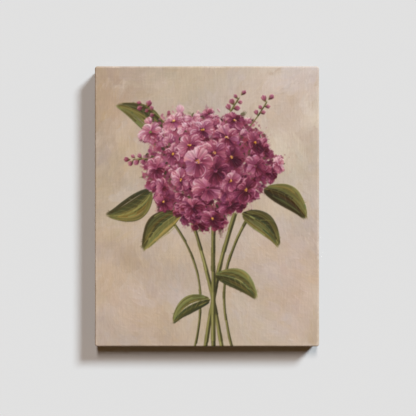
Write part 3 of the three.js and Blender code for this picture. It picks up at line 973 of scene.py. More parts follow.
@dataclass
class Skin:
    """Points and faces on their way into one mesh."""

    points: list[Array] = field(default_factory=list)
    corners: list[Array] = field(default_factory=list)
    sizes: list[Array] = field(default_factory=list)
    slots: list[Array] = field(default_factory=list)
    normals: list[Array] = field(default_factory=list)
    maps: dict[str, list[Array]] = field(default_factory=dict)

    MAPS = {"sheet": (SHEET_MAP, MM), "bake": (BAKE_MAP, 1)}

    def add_points(self, points: Array) -> Array:
        """Takes a grid of points.

        Args:
            points: Their places, mm.

        Returns:
            Their numbers, as a grid of the same shape.
        """
        first = sum(len(block) for block in self.points)
        self.points.append(points.reshape(-1, 3))
        return first + np.arange(points[..., 0].size).reshape(points.shape[:-1])

    def add_faces(self, faces: Array, slot: int = 0, normals: Array | None = None, **places: Array) -> None:
        """Takes faces of one size.

        Args:
            faces: Corner numbers, a row to a face.
            slot: Material slot.
            normals: A normal for each corner, where the mesh's own won't do.
            **places: For each corner, sheet is its place on the flat cloth, mm, and bake its place in the
                map that finishes are baked to.
        """
        self.corners.append(faces.reshape(-1))
        self.sizes.append(np.full(len(faces), faces.shape[1]))
        self.slots.append(np.full(len(faces), slot))
        self.normals.append(np.zeros((faces.size, 3)) if normals is None else normals.reshape(-1, 3))
        for kind, values in places.items():
            self.maps.setdefault(kind, []).append(values.reshape(-1, 2) * self.MAPS[kind][1])

    def add_grid(self, points: Array, slot: int = 0, flip: bool = False, **values: Array) -> Array:
        """Takes a grid of points with the faces between them.

        Args:
            points: Their places, mm.
            slot: Material slot.
            flip: Turns the faces the other way.
            **values: What add_faces takes for each corner, here as a grid of the same shape.

        Returns:
            The points' numbers, as a grid.
        """
        ids = self.add_points(points)
        faces = quads(ids, flip)
        own = faces - ids.flat[0]
        rows = {name: grid.reshape(-1, grid.shape[-1]) for name, grid in values.items()}
        self.add_faces(faces, slot, **{name: row[own] for name, row in rows.items()})
        return ids

    def build(self, name: str, materials: list[Material]) -> Piece:
        """Makes the mesh and its object, at the origin and in metres. A zero normal stays the mesh's own.

        Args:
            name: Of the object.
            materials: For the slots, in order.

        Returns:
            The object, linked to the scene.
        """
        points, corners, sizes = (np.concatenate(rows) for rows in (self.points, self.corners, self.sizes))
        mesh = bpy.data.meshes.new(name)
        mesh.vertices.add(len(points))
        mesh.loops.add(len(corners))
        mesh.polygons.add(len(sizes))
        mesh.vertices.foreach_set("co", (points * MM).astype(np.float32).ravel())
        mesh.loops.foreach_set("vertex_index", corners.astype(np.int32))
        mesh.polygons.foreach_set("loop_start", (np.cumsum(sizes) - sizes).astype(np.int32))
        mesh.polygons.foreach_set("material_index", np.concatenate(self.slots).astype(np.int32))
        for kind, values in self.maps.items():
            layer = mesh.uv_layers.new(name=self.MAPS[kind][0])
            layer.uv.foreach_set("vector", np.concatenate(values).astype(np.float32).ravel())
        mesh.update(calc_edges=True)
        mesh.validate()
        mesh.shade_smooth()
        for material in materials:
            mesh.materials.append(material)
        if any(rows.any() for rows in self.normals):
            mesh.normals_split_custom_set(np.concatenate(self.normals).astype(np.float32))
        made = bpy.data.objects.new(name, mesh)
        bpy.context.scene.collection.objects.link(made)
        return made


# ---- The way the cloth is wrapped ----


@dataclass(frozen=True)
class Wrap:
    """The cloth's run over the bars: a flat face, a roll over the front edge, a straight side, a tight roll
    over the back edge, and a flap on the back.

    A place on it is (u, v) on the flat cloth. r is how far that is beyond the core, the face without its
    rounded corners; beyond a corner of the core, r is the larger of the two distances, and the place turns
    about the corner by a share of a quarter turn.
    """

    half: Pair
    centre_z: float
    front: float
    flap: float
    edge_radius: float = 1.4
    corner_radius: float = 2.2
    back_radius: float = 1.2
    flap_width: float = 25
    pleat_height: float = 0.45  # of the folded layers below it
    pleat_inset: float = 3.0  # of its upright line from the side
    pleat_slope: float = 1.5  # width over which its slanting line rises

    CLOTH = 0.6  # how thick the cloth is

    @classmethod
    def from_frame(cls, node: str) -> "Wrap":
        """Takes the sizes from a node's box; its folded corners lie one cloth behind its flaps.

        Args:
            node: The canvas.

        Returns:
            The wrap.
        """
        low, high = (np.array(corner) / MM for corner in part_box(node))
        half = (high - low) / 2
        return cls((half[0], half[2]), (low[2] + high[2]) / 2, low[1], high[1] - cls.CLOTH)

    @property
    def core(self) -> Array:
        """Half sizes of the core."""
        return np.array(self.half) - self.corner_radius

    @property
    def side_start(self) -> float:
        """r where the front roll has become the straight side."""
        return self.corner_radius - self.edge_radius + math.pi / 2 * self.edge_radius

    @property
    def side_end(self) -> float:
        """r where the straight side becomes the back roll."""
        return self.side_start + self.flap - self.front - self.edge_radius - self.back_radius

    @property
    def flap_start(self) -> float:
        """r where the back roll becomes the flap."""
        return self.side_end + math.pi / 2 * self.back_radius

    def flap_r(self, out: Array, axis: int) -> Array:
        """r of places on the flap: what the back roll leaves of the half size, less how far out they are."""
        return self.flap_start + self.core[axis] + self.corner_radius - self.back_radius - out

    def section(self, r: Array) -> tuple[Array, Array, Array, Array]:
        """The wrap's profile, made of its straights and two quarter circles.

        Args:
            r: Distance along the cloth beyond the core.

        Returns:
            How far out from the core, how far behind the face, and the outward normal's two parts.
        """
        front = np.clip((r - self.corner_radius + self.edge_radius) / self.edge_radius, 0, math.pi / 2)
        back = np.clip((r - self.side_end) / self.back_radius, 0, math.pi / 2)
        flat = np.minimum(r, self.corner_radius - self.edge_radius)
        side = np.clip(r - self.side_start, 0, self.side_end - self.side_start)
        flap = np.clip(r - self.flap_start, 0, None)
        out = flat + self.edge_radius * np.sin(front) - self.back_radius * (1 - np.cos(back)) - flap
        behind = self.edge_radius * (1 - np.cos(front)) + side + self.back_radius * np.sin(back)
        turn = front + back
        return out, behind, np.sin(turn), -np.cos(turn)

    def grid(self, face_cells: Pair, stops: tuple[float, ...], cells: tuple[int, ...]) -> list[Array]:
        """A grid on the cloth: even over the core, and even between the stops beyond it.

        Args:
            face_cells: Its cells over the core, across and up.
            stops: r where each further part ends.
            cells: Its cells over each.

        Returns:
            Its u and v.
        """
        parts = zip((0, *stops), stops, cells)
        beyond = np.concatenate([np.linspace(start, end, count + 1)[1:] for start, end, count in parts])
        axes = (
            np.concatenate([-core - beyond[::-1], np.linspace(-core, core, count + 1), core + beyond])
            for core, count in zip(self.core, face_cells)
        )
        return np.meshgrid(*axes, indexing="ij")

    def unfold(self, u: Array, v: Array) -> tuple[Array, Array, Array, Array, Array]:
        """Splits places on the cloth into a place on the core, r, and a direction away from the core.

        Args:
            u: Places to the right, on the flat cloth.
            v: Places up.

        Returns:
            The core's x and z, r, and the direction's x and z.
        """
        core_x, core_z = (np.clip(value, -core, core) for value, core in zip((u, v), self.core))
        over_u, over_v = np.abs(u - core_x), np.abs(v - core_z)
        r = np.maximum(over_u, over_v)
        share = np.minimum(over_u, over_v) / np.maximum(r, 1e-9) * math.pi / 4
        angle = np.where(over_u >= over_v, share, math.pi / 2 - share)
        return core_x, core_z, r, np.cos(angle) * np.sign(u), np.sin(angle) * np.sign(v)

    def lift(self, u: Array, v: Array, offset: Array | float = 0) -> Array:
        """Wraps places on the flat cloth round the bars: core + direction x section, moved out by offset.

        Args:
            u: Places to the right, on the flat cloth.
            v: Places up.
            offset: How far to move each along its outward normal.

        Returns:
            Points in the frame, mm.
        """
        core_x, core_z, r, away_x, away_z = self.unfold(u, v)
        out, behind, normal_out, normal_back = self.section(r)
        reach = out + offset * normal_out
        x, z = core_x + away_x * reach, core_z + away_z * reach + self.centre_z
        return np.stack([x, self.front + behind + offset * normal_back, z], -1)

    def pleat(self, points: Array) -> Array:
        """The folded cloth under the top and bottom sides, by each corner: a triangle from the front corner.

        It rises sharply at an upright line close to the corner, and softly along a slanting one.

        Args:
            points: Points on the wrap.

        Returns:
            The rise at each point.
        """
        x, behind = np.abs(points[..., 0]), points[..., 1] - self.front
        upright, slant = self.half[0] - self.pleat_inset, self.half[0] - behind + self.pleat_slope
        sharp = 1 - step(x, upright - 0.2, upright + 0.2)
        on_side = step(behind, self.edge_radius, self.edge_radius + 1)
        return self.pleat_height * sharp * step(x, slant, slant + self.pleat_slope) * on_side

    def flat_size(self) -> Pair:
        """Width and height of the flat sheet, in metres: face, sides and flaps."""
        beyond = self.flap - self.front + self.flap_width
        return 2 * (self.half[0] + beyond) * MM, 2 * (self.half[1] + beyond) * MM


# ---- The film of paint ----


@dataclass
class PaintFilm:
    """The dried paint, over the face and round onto the sides, in four tiles that meet edge to edge.

    The outer surface is a fine grid of (u, v) on the wrap, moved out by the paint's thickness. The inner
    one is the same grid at every fourth point, and a strip of faces joins the two round each tile.
    """

    wrap: Wrap
    paint: Paint
    face_cells: tuple[int, int] = (392, 488)
    roll_cells: int = 8
    side_cells: int = 20
    stride: int = 4
    side_length: float = 15.4  # of painted side, behind the front roll
    ragged_end: float = 0.035  # share of the side's length by which the paint's edge wanders
    thickness: float = 0.2
    edge_thickness: float = 0.03
    feather: float = 1.6  # over which it thins out to its edge
    full: float = 0.3  # thickness of paint that hides the weave

    def build(self, material: Material) -> list[Piece]:
        """Builds the tiles.

        Args:
            material: The paint's.

        Returns:
            Their objects.
        """
        u, v = self._places()
        core_x, core_z, r, away_x, away_z = self.wrap.unfold(u, v)
        sheet = np.stack([core_x + away_x * r, core_z + away_z * r], -1)
        body = self.paint.sample(self.paint.body, sheet)
        colour = linear(self.paint.sample(self.paint.colour, sheet))
        pleat = self.wrap.pleat(self.wrap.lift(u, v))
        inside = step(self._end(core_x, core_z) - r, 0, self.feather)
        thin = (self.thickness - self.edge_thickness) * (1 - inside)
        outer = self.wrap.lift(u, v, body * inside + pleat - thin)
        inner = self.wrap.lift(u, v, self._lowest(pleat) - self.thickness)
        # The slopes' cross product over the whole grid, so that the tiles meet unseen.
        normals = one_long(np.cross(np.gradient(outer, axis=0), np.gradient(outer, axis=1)))
        tones = np.concatenate([colour, np.clip(body / self.full, 0, 1)[..., None]], -1)
        made, every = [], self.stride
        rows, columns = ((size - 1) // 2 for size in u.shape)
        for row, side in enumerate(("left", "right")):
            for column, end in enumerate(("bottom", "top")):
                part = np.s_[row * rows : (row + 1) * rows + 1, column * columns : (column + 1) * columns + 1]
                tile = self._tile(*(grid[part] for grid in (outer, inner, normals, sheet)))
                piece = tile.build(f"paint_film_{end}_{side}", [material])
                shades = piece.data.attributes.new("paint", "FLOAT_COLOR", "POINT")
                values = [grid.reshape(-1, 4) for grid in (tones[part], tones[part][::every, ::every])]
                shades.data.foreach_set("color", np.concatenate(values).astype(np.float32).ravel())
                made.append(piece)
        return made

    def _places(self) -> tuple[Array, Array]:
        """The grid: even over the core, then over the roll, then down the side to a ragged end.

        Returns:
            Its u and v.
        """
        start, cells = self.wrap.side_start, (self.roll_cells, self.side_cells)
        u, v = self.wrap.grid(self.face_cells, (start, start + self.side_length), cells)
        core_x, core_z, r, _, _ = self.wrap.unfold(u, v)
        stretched = start + (r - start) * (self._end(core_x, core_z) - start) / self.side_length
        grow = np.where(r > start, stretched / np.maximum(r, 1e-9), 1)
        return core_x + (u - core_x) * grow, core_z + (v - core_z) * grow

    def _end(self, core_x: Array, core_z: Array) -> Array:
        """The paint's wandering edge, from chance round the core's outline.

        Args:
            core_x: Places on the core.
            core_z: Places on the core.

        Returns:
            The edge's r beside each.
        """
        grain = self.paint.grain
        wander = grain.at(core_x / 9 + 31, core_z / 9 + 77) + grain.at(core_x / 3, core_z / 3) / 2
        return self.wrap.side_start + self.side_length * (1 + self.ragged_end * wander)

    def _lowest(self, values: Array) -> Array:
        """Lowers a grid, so that the inner surface stays below the outer one.

        Args:
            values: The grid.

        Returns:
            The least value within a stride of each point.
        """
        for axis in (0, 1):
            near = [np.roll(values, way, axis) for way in range(-self.stride, self.stride + 1)]
            values = np.min(near, axis=0)
        return values

    def _tile(self, outer: Array, inner: Array, normals: Array, sheet: Array) -> Skin:
        """Closes one tile's outer and inner surfaces. In the bake map the outer surface takes most of the
        height, the inner one a strip above it, and each side a line between the two.

        Args:
            outer: Points of the outer surface.
            inner: Points of the inner surface, at the same places.
            normals: The outer surface's normals.
            sheet: Places on the cloth.

        Returns:
            The closed skin.
        """
        skin, every = Skin(), self.stride
        coarse = np.s_[::every, ::every]
        share = (sheet - sheet.min((0, 1))) / np.ptp(sheet, axis=(0, 1))
        top = skin.add_grid(outer, normals=normals, sheet=sheet, bake=0.01 + share * (0.98, 0.90))
        strip = (0.01, 0.93) + share * (0.98, 0.05)
        under = skin.add_grid(inner[coarse], flip=True, sheet=sheet[coarse], bake=strip[coarse])
        edges = ((np.s_[:, 0], 1), (np.s_[-1, :], 1), (np.s_[:, -1], -1), (np.s_[0, :], -1))
        for line, (edge, way) in enumerate(edges):
            rim, seat = top[edge], under[edge]
            run = np.arange(0, len(rim) - 1, every)[:, None] + np.arange(every, -1, -1)
            ends = np.arange(len(seat) - 1)[:, None] + (0, 1)
            faces = np.concatenate([rim[run], seat[ends]], 1)
            places = np.concatenate([run, run[:, -1:], run[:, :1]], 1)
            on_rim = np.arange(every + 3) <= every
            level = 0.915 + 0.003 * line + 0.002 * on_rim
            bake = np.stack(np.broadcast_arrays(0.01 + 0.98 * places / (len(rim) - 1), level), -1)
            skin.add_faces(faces[:, ::way], sheet=sheet[edge][places][:, ::way], bake=bake[:, ::way])
        return skin


# ---- The cloth ----


@dataclass
class StretchedCloth:
    """The primed cotton: one closed sheet over the face, round the sides and onto the back, its flaps
    mitred at the corners and stapled, with a second layer folded over each mitre and a cut hem."""

    wrap: Wrap
    grain: Grain
    rng: np.random.Generator
    face_cells: tuple[int, int] = (98, 124)
    roll_cells: int = 6
    side_cells: int = 10
    back_cells: int = 6
    flap_cells: int = 16
    under_paint: float = -0.22  # of the outer surface from the wrap, where the film lies on it
    inner: float = -Wrap.CLOTH
    flap_rise: float = 0.26  # how far the flap stands off the wrap, up to the staples
    flap_inner: float = -0.2
    puff: float = 0.22  # more that it rises between the staples
    dimple: float = 4.0  # width of the hollow that a staple pulls in it
    pucker: float = 0.06  # height of the fine puckers round a staple
    puckers: int = 7
    pucker_ring: float = 2.5  # how far from the staple they are highest
    squeeze: float = 8.0  # stretch of hem that takes all the lines from beyond it
    threads: int = 84
    thread_radius: float = 0.17
    fold_lead: float = 14.6  # how far before the mitre a fold comes out of the flap
    fold_inset: float = 1.6  # of its end from the side
    fold_blunt: float = 3.0
    fold_thick: float = 0.5
    fold_proud: float = 0.86  # how far it stands off the wrap
    fold_under: float = 4.0  # how far it goes down the side, under the paint
    fold_stations: int = 38
    fold_steps: int = 44

    def build(self, primed: Material, raw: Material) -> Piece:
        """Builds the sheet: a grid of (u, v) as far as the back edge, and a ring from there to the hem.

        Args:
            primed: For the outer side.
            raw: For the inner side and the cut edge.

        Returns:
            Its object.
        """
        wrap, cells = self.wrap, (self.roll_cells, self.side_cells, self.back_cells)
        u, v = wrap.grid(self.face_cells, (wrap.side_start, wrap.side_end, wrap.flap_start), cells)
        r = wrap.unfold(u, v)[2]
        over_edge = step(r, wrap.side_end, wrap.flap_start)
        waves = 0.05 * self.grain.at(u / 13, v / 13)
        rise = self.under_paint + 0.8 * wrap.pleat(wrap.lift(u, v)) * (1 - over_edge)
        outer = wrap.lift(u, v, rise + (self.flap_rise - self.under_paint) * over_edge)
        inner = wrap.lift(u, v, self.inner + (self.flap_inner - self.inner) * over_edge + waves * (r <= 0))
        skin, sheet = Skin(), np.stack([u, v], -1)
        outer_ids, inner_ids = skin.add_grid(outer, sheet=sheet), skin.add_grid(inner, 1, True, sheet=sheet)
        ring, places = self._ring(outer, u, v)
        depth = self._lift_at(ring[:, 1:])
        edge = self._edge(np.arange(u.size).reshape(u.shape))
        sides = []
        for ids, level, share in ((outer_ids, self.flap_rise, 1.0), (inner_ids, self.flap_inner, 0.6)):
            block = ring[:, 1:].copy()
            block[..., 1] = wrap.flap + level + depth * share
            rows = np.concatenate([ids.reshape(-1)[edge][:, None], skin.add_points(block)], 1)
            sides.append(np.concatenate([rows, rows[:1]]))
        skin.add_faces(quads(sides[0], True), sheet=places[:, ::-1])
        skin.add_faces(quads(sides[1]), 1, sheet=places)
        hem = np.stack([sides[0][:, -1], sides[1][:, -1]], 1)
        at_hem = places.reshape(len(edge), -1, 4, 2)[:, -1, 3:4]
        skin.add_faces(quads(hem, True), 1, sheet=np.repeat(at_hem, 4, 1))
        return skin.build("canvas_cloth", [primed, raw])

    @staticmethod
    def _edge(grid: Array) -> Array:
        """A grid's outline in one row: up the right side, along the top, down the left, along the bottom."""
        return np.concatenate([grid[-1, :-1], grid[:0:-1, -1], grid[0, :0:-1], grid[:-1, 0]])

    def _ring(self, outer: Array, u: Array, v: Array) -> tuple[Array, Array]:
        """The flaps as a ring of straight lines from the back edge in to the hem.

        A line goes square to the hem, except near a corner, where the lines close up so that the two
        corner ones meet the hem's corner on the mitre.

        Args:
            outer: The grid's outer surface.
            u: The grid's places.
            v: The grid's places.

        Returns:
            The ring's points, and u, v for the four corners of each of its faces.
        """
        wrap = self.wrap
        starts = self._edge(outer[..., 0]), self._edge(outer[..., 2]) - wrap.centre_z
        ends = []
        for values, half in zip((self._edge(u), self._edge(v)), wrap.half):
            close, far = half - wrap.flap_width - self.squeeze, half - wrap.corner_radius + wrap.flap_start
            near = np.abs(values)
            closed = close + (near - close) * self.squeeze / (far - close)
            ends.append(np.sign(values) * np.where(near < close, near, closed))
        ragged = 0.3 * self.grain.at(ends[0] / 2.5, ends[1] / 2.5)
        shares = np.linspace(0, 1, self.flap_cells + 1)
        x, z = (
            start[:, None] + (end + np.sign(end) * ragged - start)[:, None] * shares
            for start, end in zip(starts, ends)
        )
        beyond_x = np.sign(x) * (wrap.core[0] + wrap.flap_r(np.abs(x), 0))
        beyond_z = np.sign(z) * (wrap.core[1] + wrap.flap_r(np.abs(z), 1))
        corners = quads(np.arange((len(x) + 1) * len(shares)).reshape(-1, len(shares)))
        maps = []
        for pair in ((beyond_x, z), (x, beyond_z)):
            place = np.stack(pair, -1)
            maps.append(np.concatenate([place, place[:1]]).reshape(-1, 2)[corners])
        count_u, count_v = u.shape[0] - 1, u.shape[1] - 1
        upright = np.arange(len(x)) % (count_u + count_v) < count_v
        on_side = np.repeat(upright, self.flap_cells)[:, None, None]
        ring = np.stack([x, np.full_like(x, wrap.flap), z + wrap.centre_z], -1)
        return ring, np.where(on_side, maps[0], maps[1])

    def _lift_at(self, points: Array) -> Array:
        """How far the flap rises at each point: a puff that each staple pulls down, and fine puckers.

        Args:
            points: Points on the flap.

        Returns:
            The rise, mm.
        """
        away = np.full(points.shape[:-1], np.inf)
        pucker = np.zeros(points.shape[:-1])
        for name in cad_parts:
            if not name.startswith("staple_") or "corner" in name:
                continue
            low, high = (np.array(corner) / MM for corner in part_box(name))
            middle, half = (low + high) / 2, (high - low) / 2
            beyond = np.clip(np.abs(points - middle) - half, 0, None)
            distance = np.hypot(beyond[..., 0], beyond[..., 2])
            away = np.minimum(away, distance)
            angle = np.arctan2(points[..., 2] - middle[2], points[..., 0] - middle[0])
            ring = np.exp(-(((distance - self.pucker_ring) / 2) ** 2))
            pucker += self.pucker * np.cos(self.puckers * angle) * ring
        slack = 0.8 + 0.5 * self.grain.at(points[..., 0] / 16, points[..., 2] / 16)
        return self.puff * slack * (1 - np.exp(-((away / self.dimple) ** 2))) + pucker

    def folds(self, primed: Material) -> list[Piece]:
        """The second layer at each corner, with its folded edge along the mitre."""
        return [self._fold(side, end, primed) for side in (-1, 1) for end in (-1, 1)]

    def _fold(self, side: int, end: int, primed: Material) -> Piece:
        """One corner's fold: a flat band with a rounded edge, carried from the top flap out to the corner.

        Its outline starts at the folded edge, crosses the flap, turns over the back edge and ends under the
        paint on the side. It rises out of the flap where the hidden layers begin.

        Args:
            side: -1 left, 1 right.
            end: -1 bottom, 1 top.
            primed: Its material.

        Returns:
            Its object.
        """
        wrap, thick = self.wrap, self.fold_thick
        hem_x, hem_z = (half - wrap.flap_width for half in wrap.half)
        first, last = hem_x - self.fold_lead, wrap.half[0] - self.fold_inset
        span = np.linspace(0, 1, self.fold_stations + 1)[:, None]
        x = first + (last - first) * span
        mitre = np.clip((x - hem_x) / (last - hem_x), 0, 1)
        edge_z = hem_z + mitre * (wrap.half[1] - self.fold_inset - self.fold_blunt - hem_z)
        edge_r = wrap.flap_r(edge_z, 1)
        r = edge_r + (wrap.side_end - self.fold_under - edge_r) * np.linspace(0, 1, self.fold_steps + 1)
        on_side = 1 - step(r, wrap.side_end - 0.6, wrap.flap_start)
        x = x - 2.0 * on_side * span
        flat = wrap.section(r)
        layers = step(x, first + 2, hem_x - 3)
        puffed = 0.10 * self.grain.at(x / 7 + 40 * side, r / 7 + 40 * end)
        on_back = 0.12 + (self.fold_proud - 0.12 + puffed) * layers
        at_side = wrap.pleat(np.stack([x, wrap.front + flat[1], wrap.half[1] + 0 * x], -1))
        sunk = 0.15 + 0.15 * (1 - step(x, first, first + 3))
        offset = on_back + (at_side - sunk - on_back) * on_side
        turn = np.linspace(math.pi / 2, -math.pi / 2, 7)[1:-1]
        bend_r = edge_r + thick / 2 * np.cos(turn)
        bend_x = np.broadcast_to(x[:, :1], bend_r.shape)
        bend_offset = offset[:, :1] - thick / 2 + thick / 2 * np.sin(turn)
        rows = []
        for part, lift, place in (
            ([value[:, ::-1] for value in flat], offset[:, ::-1], x[:, ::-1]),
            (wrap.section(bend_r), bend_offset, bend_x),
            (flat, offset - thick, x),
        ):
            y = wrap.front + part[1] + lift * part[3]
            z = wrap.core[1] + part[0] + lift * part[2]
            rows.append(np.stack([place * side, y, z * end + wrap.centre_z], -1))
        sheet_r = np.concatenate([r[:, ::-1], bend_r, r], 1)
        sheet = np.stack([np.concatenate([x[:, ::-1], bend_x, x], 1), sheet_r], -1).reshape(-1, 2)
        skin, flip = Skin(), side * end < 0
        ids = skin.add_points(np.concatenate(rows, 1))
        around = quads(np.concatenate([ids, ids[:, :1]], 1), flip)
        skin.add_faces(around, sheet=sheet[around])
        count = self.fold_steps + 1
        for row, turned in ((0, not flip), (-1, flip)):
            line = ids[row]
            cap = quads(np.stack([line[:count][::-1], line[-count:]], 1), turned)
            nose = np.concatenate([line[count - 1 : -count], line[-count : 1 - count]])[None, :]
            for faces in (cap, nose if turned else nose[:, ::-1]):
                skin.add_faces(faces, sheet=sheet[faces])
        names = {1: "top", -1: "bottom"}[end], {1: "right", -1: "left"}[side]
        return skin.build("canvas_fold_" + "_".join(names), [primed])

    def loose_threads(self, raw: Material) -> Piece:
        """Thread ends that stand out of the cut hem: thin tubes on curves that drop onto the bars.

        Args:
            raw: Their material.

        Returns:
            One object for all.
        """
        wrap, rng, count, steps, sides = self.wrap, self.rng, self.threads, 6, 4
        along = rng.uniform(-1, 1, (count, 1)) * 0.98
        turn = rng.integers(0, 4, (count, 1))
        out = np.where(turn % 2 == 0, (1, 0), (0, 1)) * np.where(turn < 2, 1, -1)
        beside = np.abs(out[:, ::-1])
        length, drift = rng.uniform(1.0, 5.5, (count, 1)), rng.normal(0, 0.5, (count, 1))
        curl = rng.normal(0, 0.35, (count, 1))
        share = np.linspace(0, 1, steps)
        inward, across = length * share, length * (drift * share + curl * share**2)
        start = (np.array(wrap.half) - wrap.flap_width) * (out + along * beside)
        flat = start[:, None] - out[:, None] * (inward - 0.6)[..., None] + beside[:, None] * across[..., None]
        y = wrap.flap - 0.1 - 0.55 * np.clip(inward / 1.2, 0, 1)
        path = np.stack([flat[..., 0], y, flat[..., 1] + wrap.centre_z], -1)
        run = one_long(np.gradient(path, axis=1))
        side = one_long(np.cross(run, [0.0, 1.0, 0.0]))
        angle = (math.tau * np.arange(sides) / sides)[:, None]
        ring = side[:, :, None] * np.cos(angle) + np.cross(side, run)[:, :, None] * np.sin(angle)
        radius = self.thread_radius * (1 - 0.5 * share[:, None, None])
        skin = Skin()
        ids = skin.add_points(path[:, :, None] + radius * ring)
        for thread in np.concatenate([ids, ids[:, :, :1]], 2):
            skin.add_faces(quads(thread))
            skin.add_faces(np.stack([thread[0, :-1], thread[-1, -2::-1]]))
        return skin.build("hem_threads", [raw])


# ---- Finishes ----


def add_node(
    tree: bpy.types.NodeTree,
    kind: str,
    *values: object,
    take: int | str | None = 0,
    stops: tuple[tuple[float, str], ...] = (),
    **settings: object,
) -> Socket:
    """Adds a node.

    Args:
        tree: Where it goes.
        kind: Its type, without the leading "ShaderNode", and after a space its operation if it has one.
        *values: For its first sockets, a value or the socket that feeds it; None leaves one as it is.
        take: Number or name of the output to return, or None for all of them.
        stops: For a colour ramp, its places and hex colours.
        **settings: With a capital, a socket by its identifier, with _ for a space; else a property.

    Returns:
        The output, or all of them.
    """
    kind, _, operation = kind.partition(" ")
    made = tree.nodes.new("ShaderNode" + kind)
    if operation:
        made.operation = operation
    sockets = dict(enumerate(values))
    for name, value in settings.items():
        if name[0].isupper():
            known = [socket.identifier.replace(" ", "_") for socket in made.inputs]
            sockets[known.index(name)] = value
        else:
            setattr(made, name, value)
    for number, value in sockets.items():
        if isinstance(value, Socket):
            tree.links.new(value, made.inputs[number])
        elif value is not None:
            made.inputs[number].default_value = value
    for number, (place, tone) in enumerate(stops):
        ramp = made.color_ramp.elements
        element = ramp[number] if number < len(ramp) else ramp.new(place)
        element.position, element.color = place, rgba(tone)
    return made.outputs if take is None else made.outputs[take]


@dataclass(frozen=True)
class Finish:
    """A finish: a named material whose nodes draw what the real surface shows."""

    name: str

    def material(self) -> Material:
        """Makes the material.

        Returns:
            It, with the finish's own nodes and an output for their shader.
        """
        made = bpy.data.materials.new(self.name)
        made.use_nodes = True
        made.node_tree.nodes.clear()
        add = partial(add_node, made.node_tree)
        add("OutputMaterial", self.draw(add), take=None)
        return made

    def draw(self, add: Adder) -> Socket:
        """Adds the finish's nodes by add, and returns its shader."""
        raise NotImplementedError


def plain_weave(add: Adder, pitch: float, unevenness: float) -> tuple[Socket, Socket]:
    """Height of a plain weave on the sheet map: each thread a half sine across, over and under by turns.

    The warp's half sine is |sin(pi u / pitch)| and the weft's the same in v. The sign of the product of
    the two sines says which thread is on top.

    Args:
        add: Adds a node.
        pitch: Thread spacing, mm.
        unevenness: How far threads wander, in threads.

    Returns:
        The height, 0 to 1, and a chance of 0 to 1 that differs from thread to thread, more by warp than weft.
    """
    flat = add("UVMap", uv_map=SHEET_MAP)
    threads = add("VectorMath SCALE", flat, Scale=per_metre(pitch))
    slow = add("TexNoise", threads, Scale=0.11, Detail=3.0, take="Color")
    wander = add("VectorMath SCALE", slow, Scale=unevenness)
    placed = add("VectorMath ADD", threads, wander)
    split = add("SeparateXYZ", placed, take=None)
    angles = [add("Math MULTIPLY", split[axis], math.pi) for axis in (0, 1)]
    waves = [add("Math SINE", angle) for angle in angles]
    over = add("Math MULTIPLY", add("Math MULTIPLY", *waves), 0.3)
    shares = add("Math ADD", over, 0.7), add("Math SUBTRACT", 0.62, over)
    ridges = [add("Math ABSOLUTE", wave) for wave in waves]
    tops = [add("Math MULTIPLY", ridge, share) for ridge, share in zip(ridges, shares)]
    single = []
    for scale in ((0.8, 0.07, 0), (0.07, 0.8, 0)):
        stretched = add("VectorMath MULTIPLY", placed, scale)
        single.append(add("TexNoise", stretched, Scale=1.0, Detail=2.0))
    varied = add("Mix", 0.3, None, *single)
    return add("Math SMOOTH_MAX", *tops, 0.1), varied


@dataclass(frozen=True)
class OilPaint(Finish):
    """Oil paint brushed onto primed cotton: satin where it is thick, and matt where the weave shows through
    a thin layer. The colour and the thickness are the film's own, laid by the brush."""

    name: str = "oil_paint_on_canvas"
    thread_pitch: float = Paint.THREAD
    weave_depth: float = 0.04
    bristle: float = 1.1  # marks of 0.3 mm bristles, drawn coarser so that they show
    bristle_depth: float = 0.04
    dried: float = 17  # patches that dried more and less glossy, mm

    def draw(self, add: Adder) -> Socket:
        """The film's colour, with thread streaks and painted shade in the weave's hollows where thin; weave
        and bristle marks as bump.

        Args:
            add: Adds a node.

        Returns:
            The shader.
        """
        paint = add("Attribute", attribute_name="paint", attribute_type="GEOMETRY", take=None)
        weave, streaks = plain_weave(add, self.thread_pitch, 0.5)
        cover = add("MapRange", paint["Alpha"], 0.1, 0.75, 1.0, 0.12)
        place = add("TexCoord", take="Object")
        drawn_out = add("Mapping", place, Scale=(1, 1, 0.3))
        bristles = add("TexNoise", drawn_out, Scale=per_metre(self.bristle), Detail=3.0)
        # where the paint is thin: the threads' own streaks, and a painted shade that darkens the weave's
        # hollows
        streaks_and_hollow_shade = add("Math MULTIPLY_ADD", streaks, 0.32, -0.19)
        streaks_and_hollow_shade = add("Math MULTIPLY_ADD", weave, 0.04, streaks_and_hollow_shade)
        scumble = add("Math MULTIPLY_ADD", bristles, 0.12, 0.95)
        tone = add("Math MULTIPLY_ADD", streaks_and_hollow_shade, cover, scumble)
        colour = add("VectorMath SCALE", paint["Color"], Scale=tone)
        mottle = add("TexNoise", place, Scale=per_metre(self.dried), Detail=4.0)
        satin = add("MapRange", paint["Alpha"], 0.1, 0.9, 0.60, 0.38)
        rough = add("Math MULTIPLY_ADD", mottle, 0.12, satin)
        thread = add("Math MULTIPLY", weave, cover)
        threads = add("Bump", Height=thread, Distance=self.weave_depth * MM)
        marks = add("Bump", Height=bristles, Distance=self.bristle_depth * MM, Normal=threads)
        sockets = dict(Base_Color=colour, Roughness=rough, Normal=marks)
        return add("BsdfPrincipled", IOR=1.48, Specular_IOR_Level=0.15, **sockets)


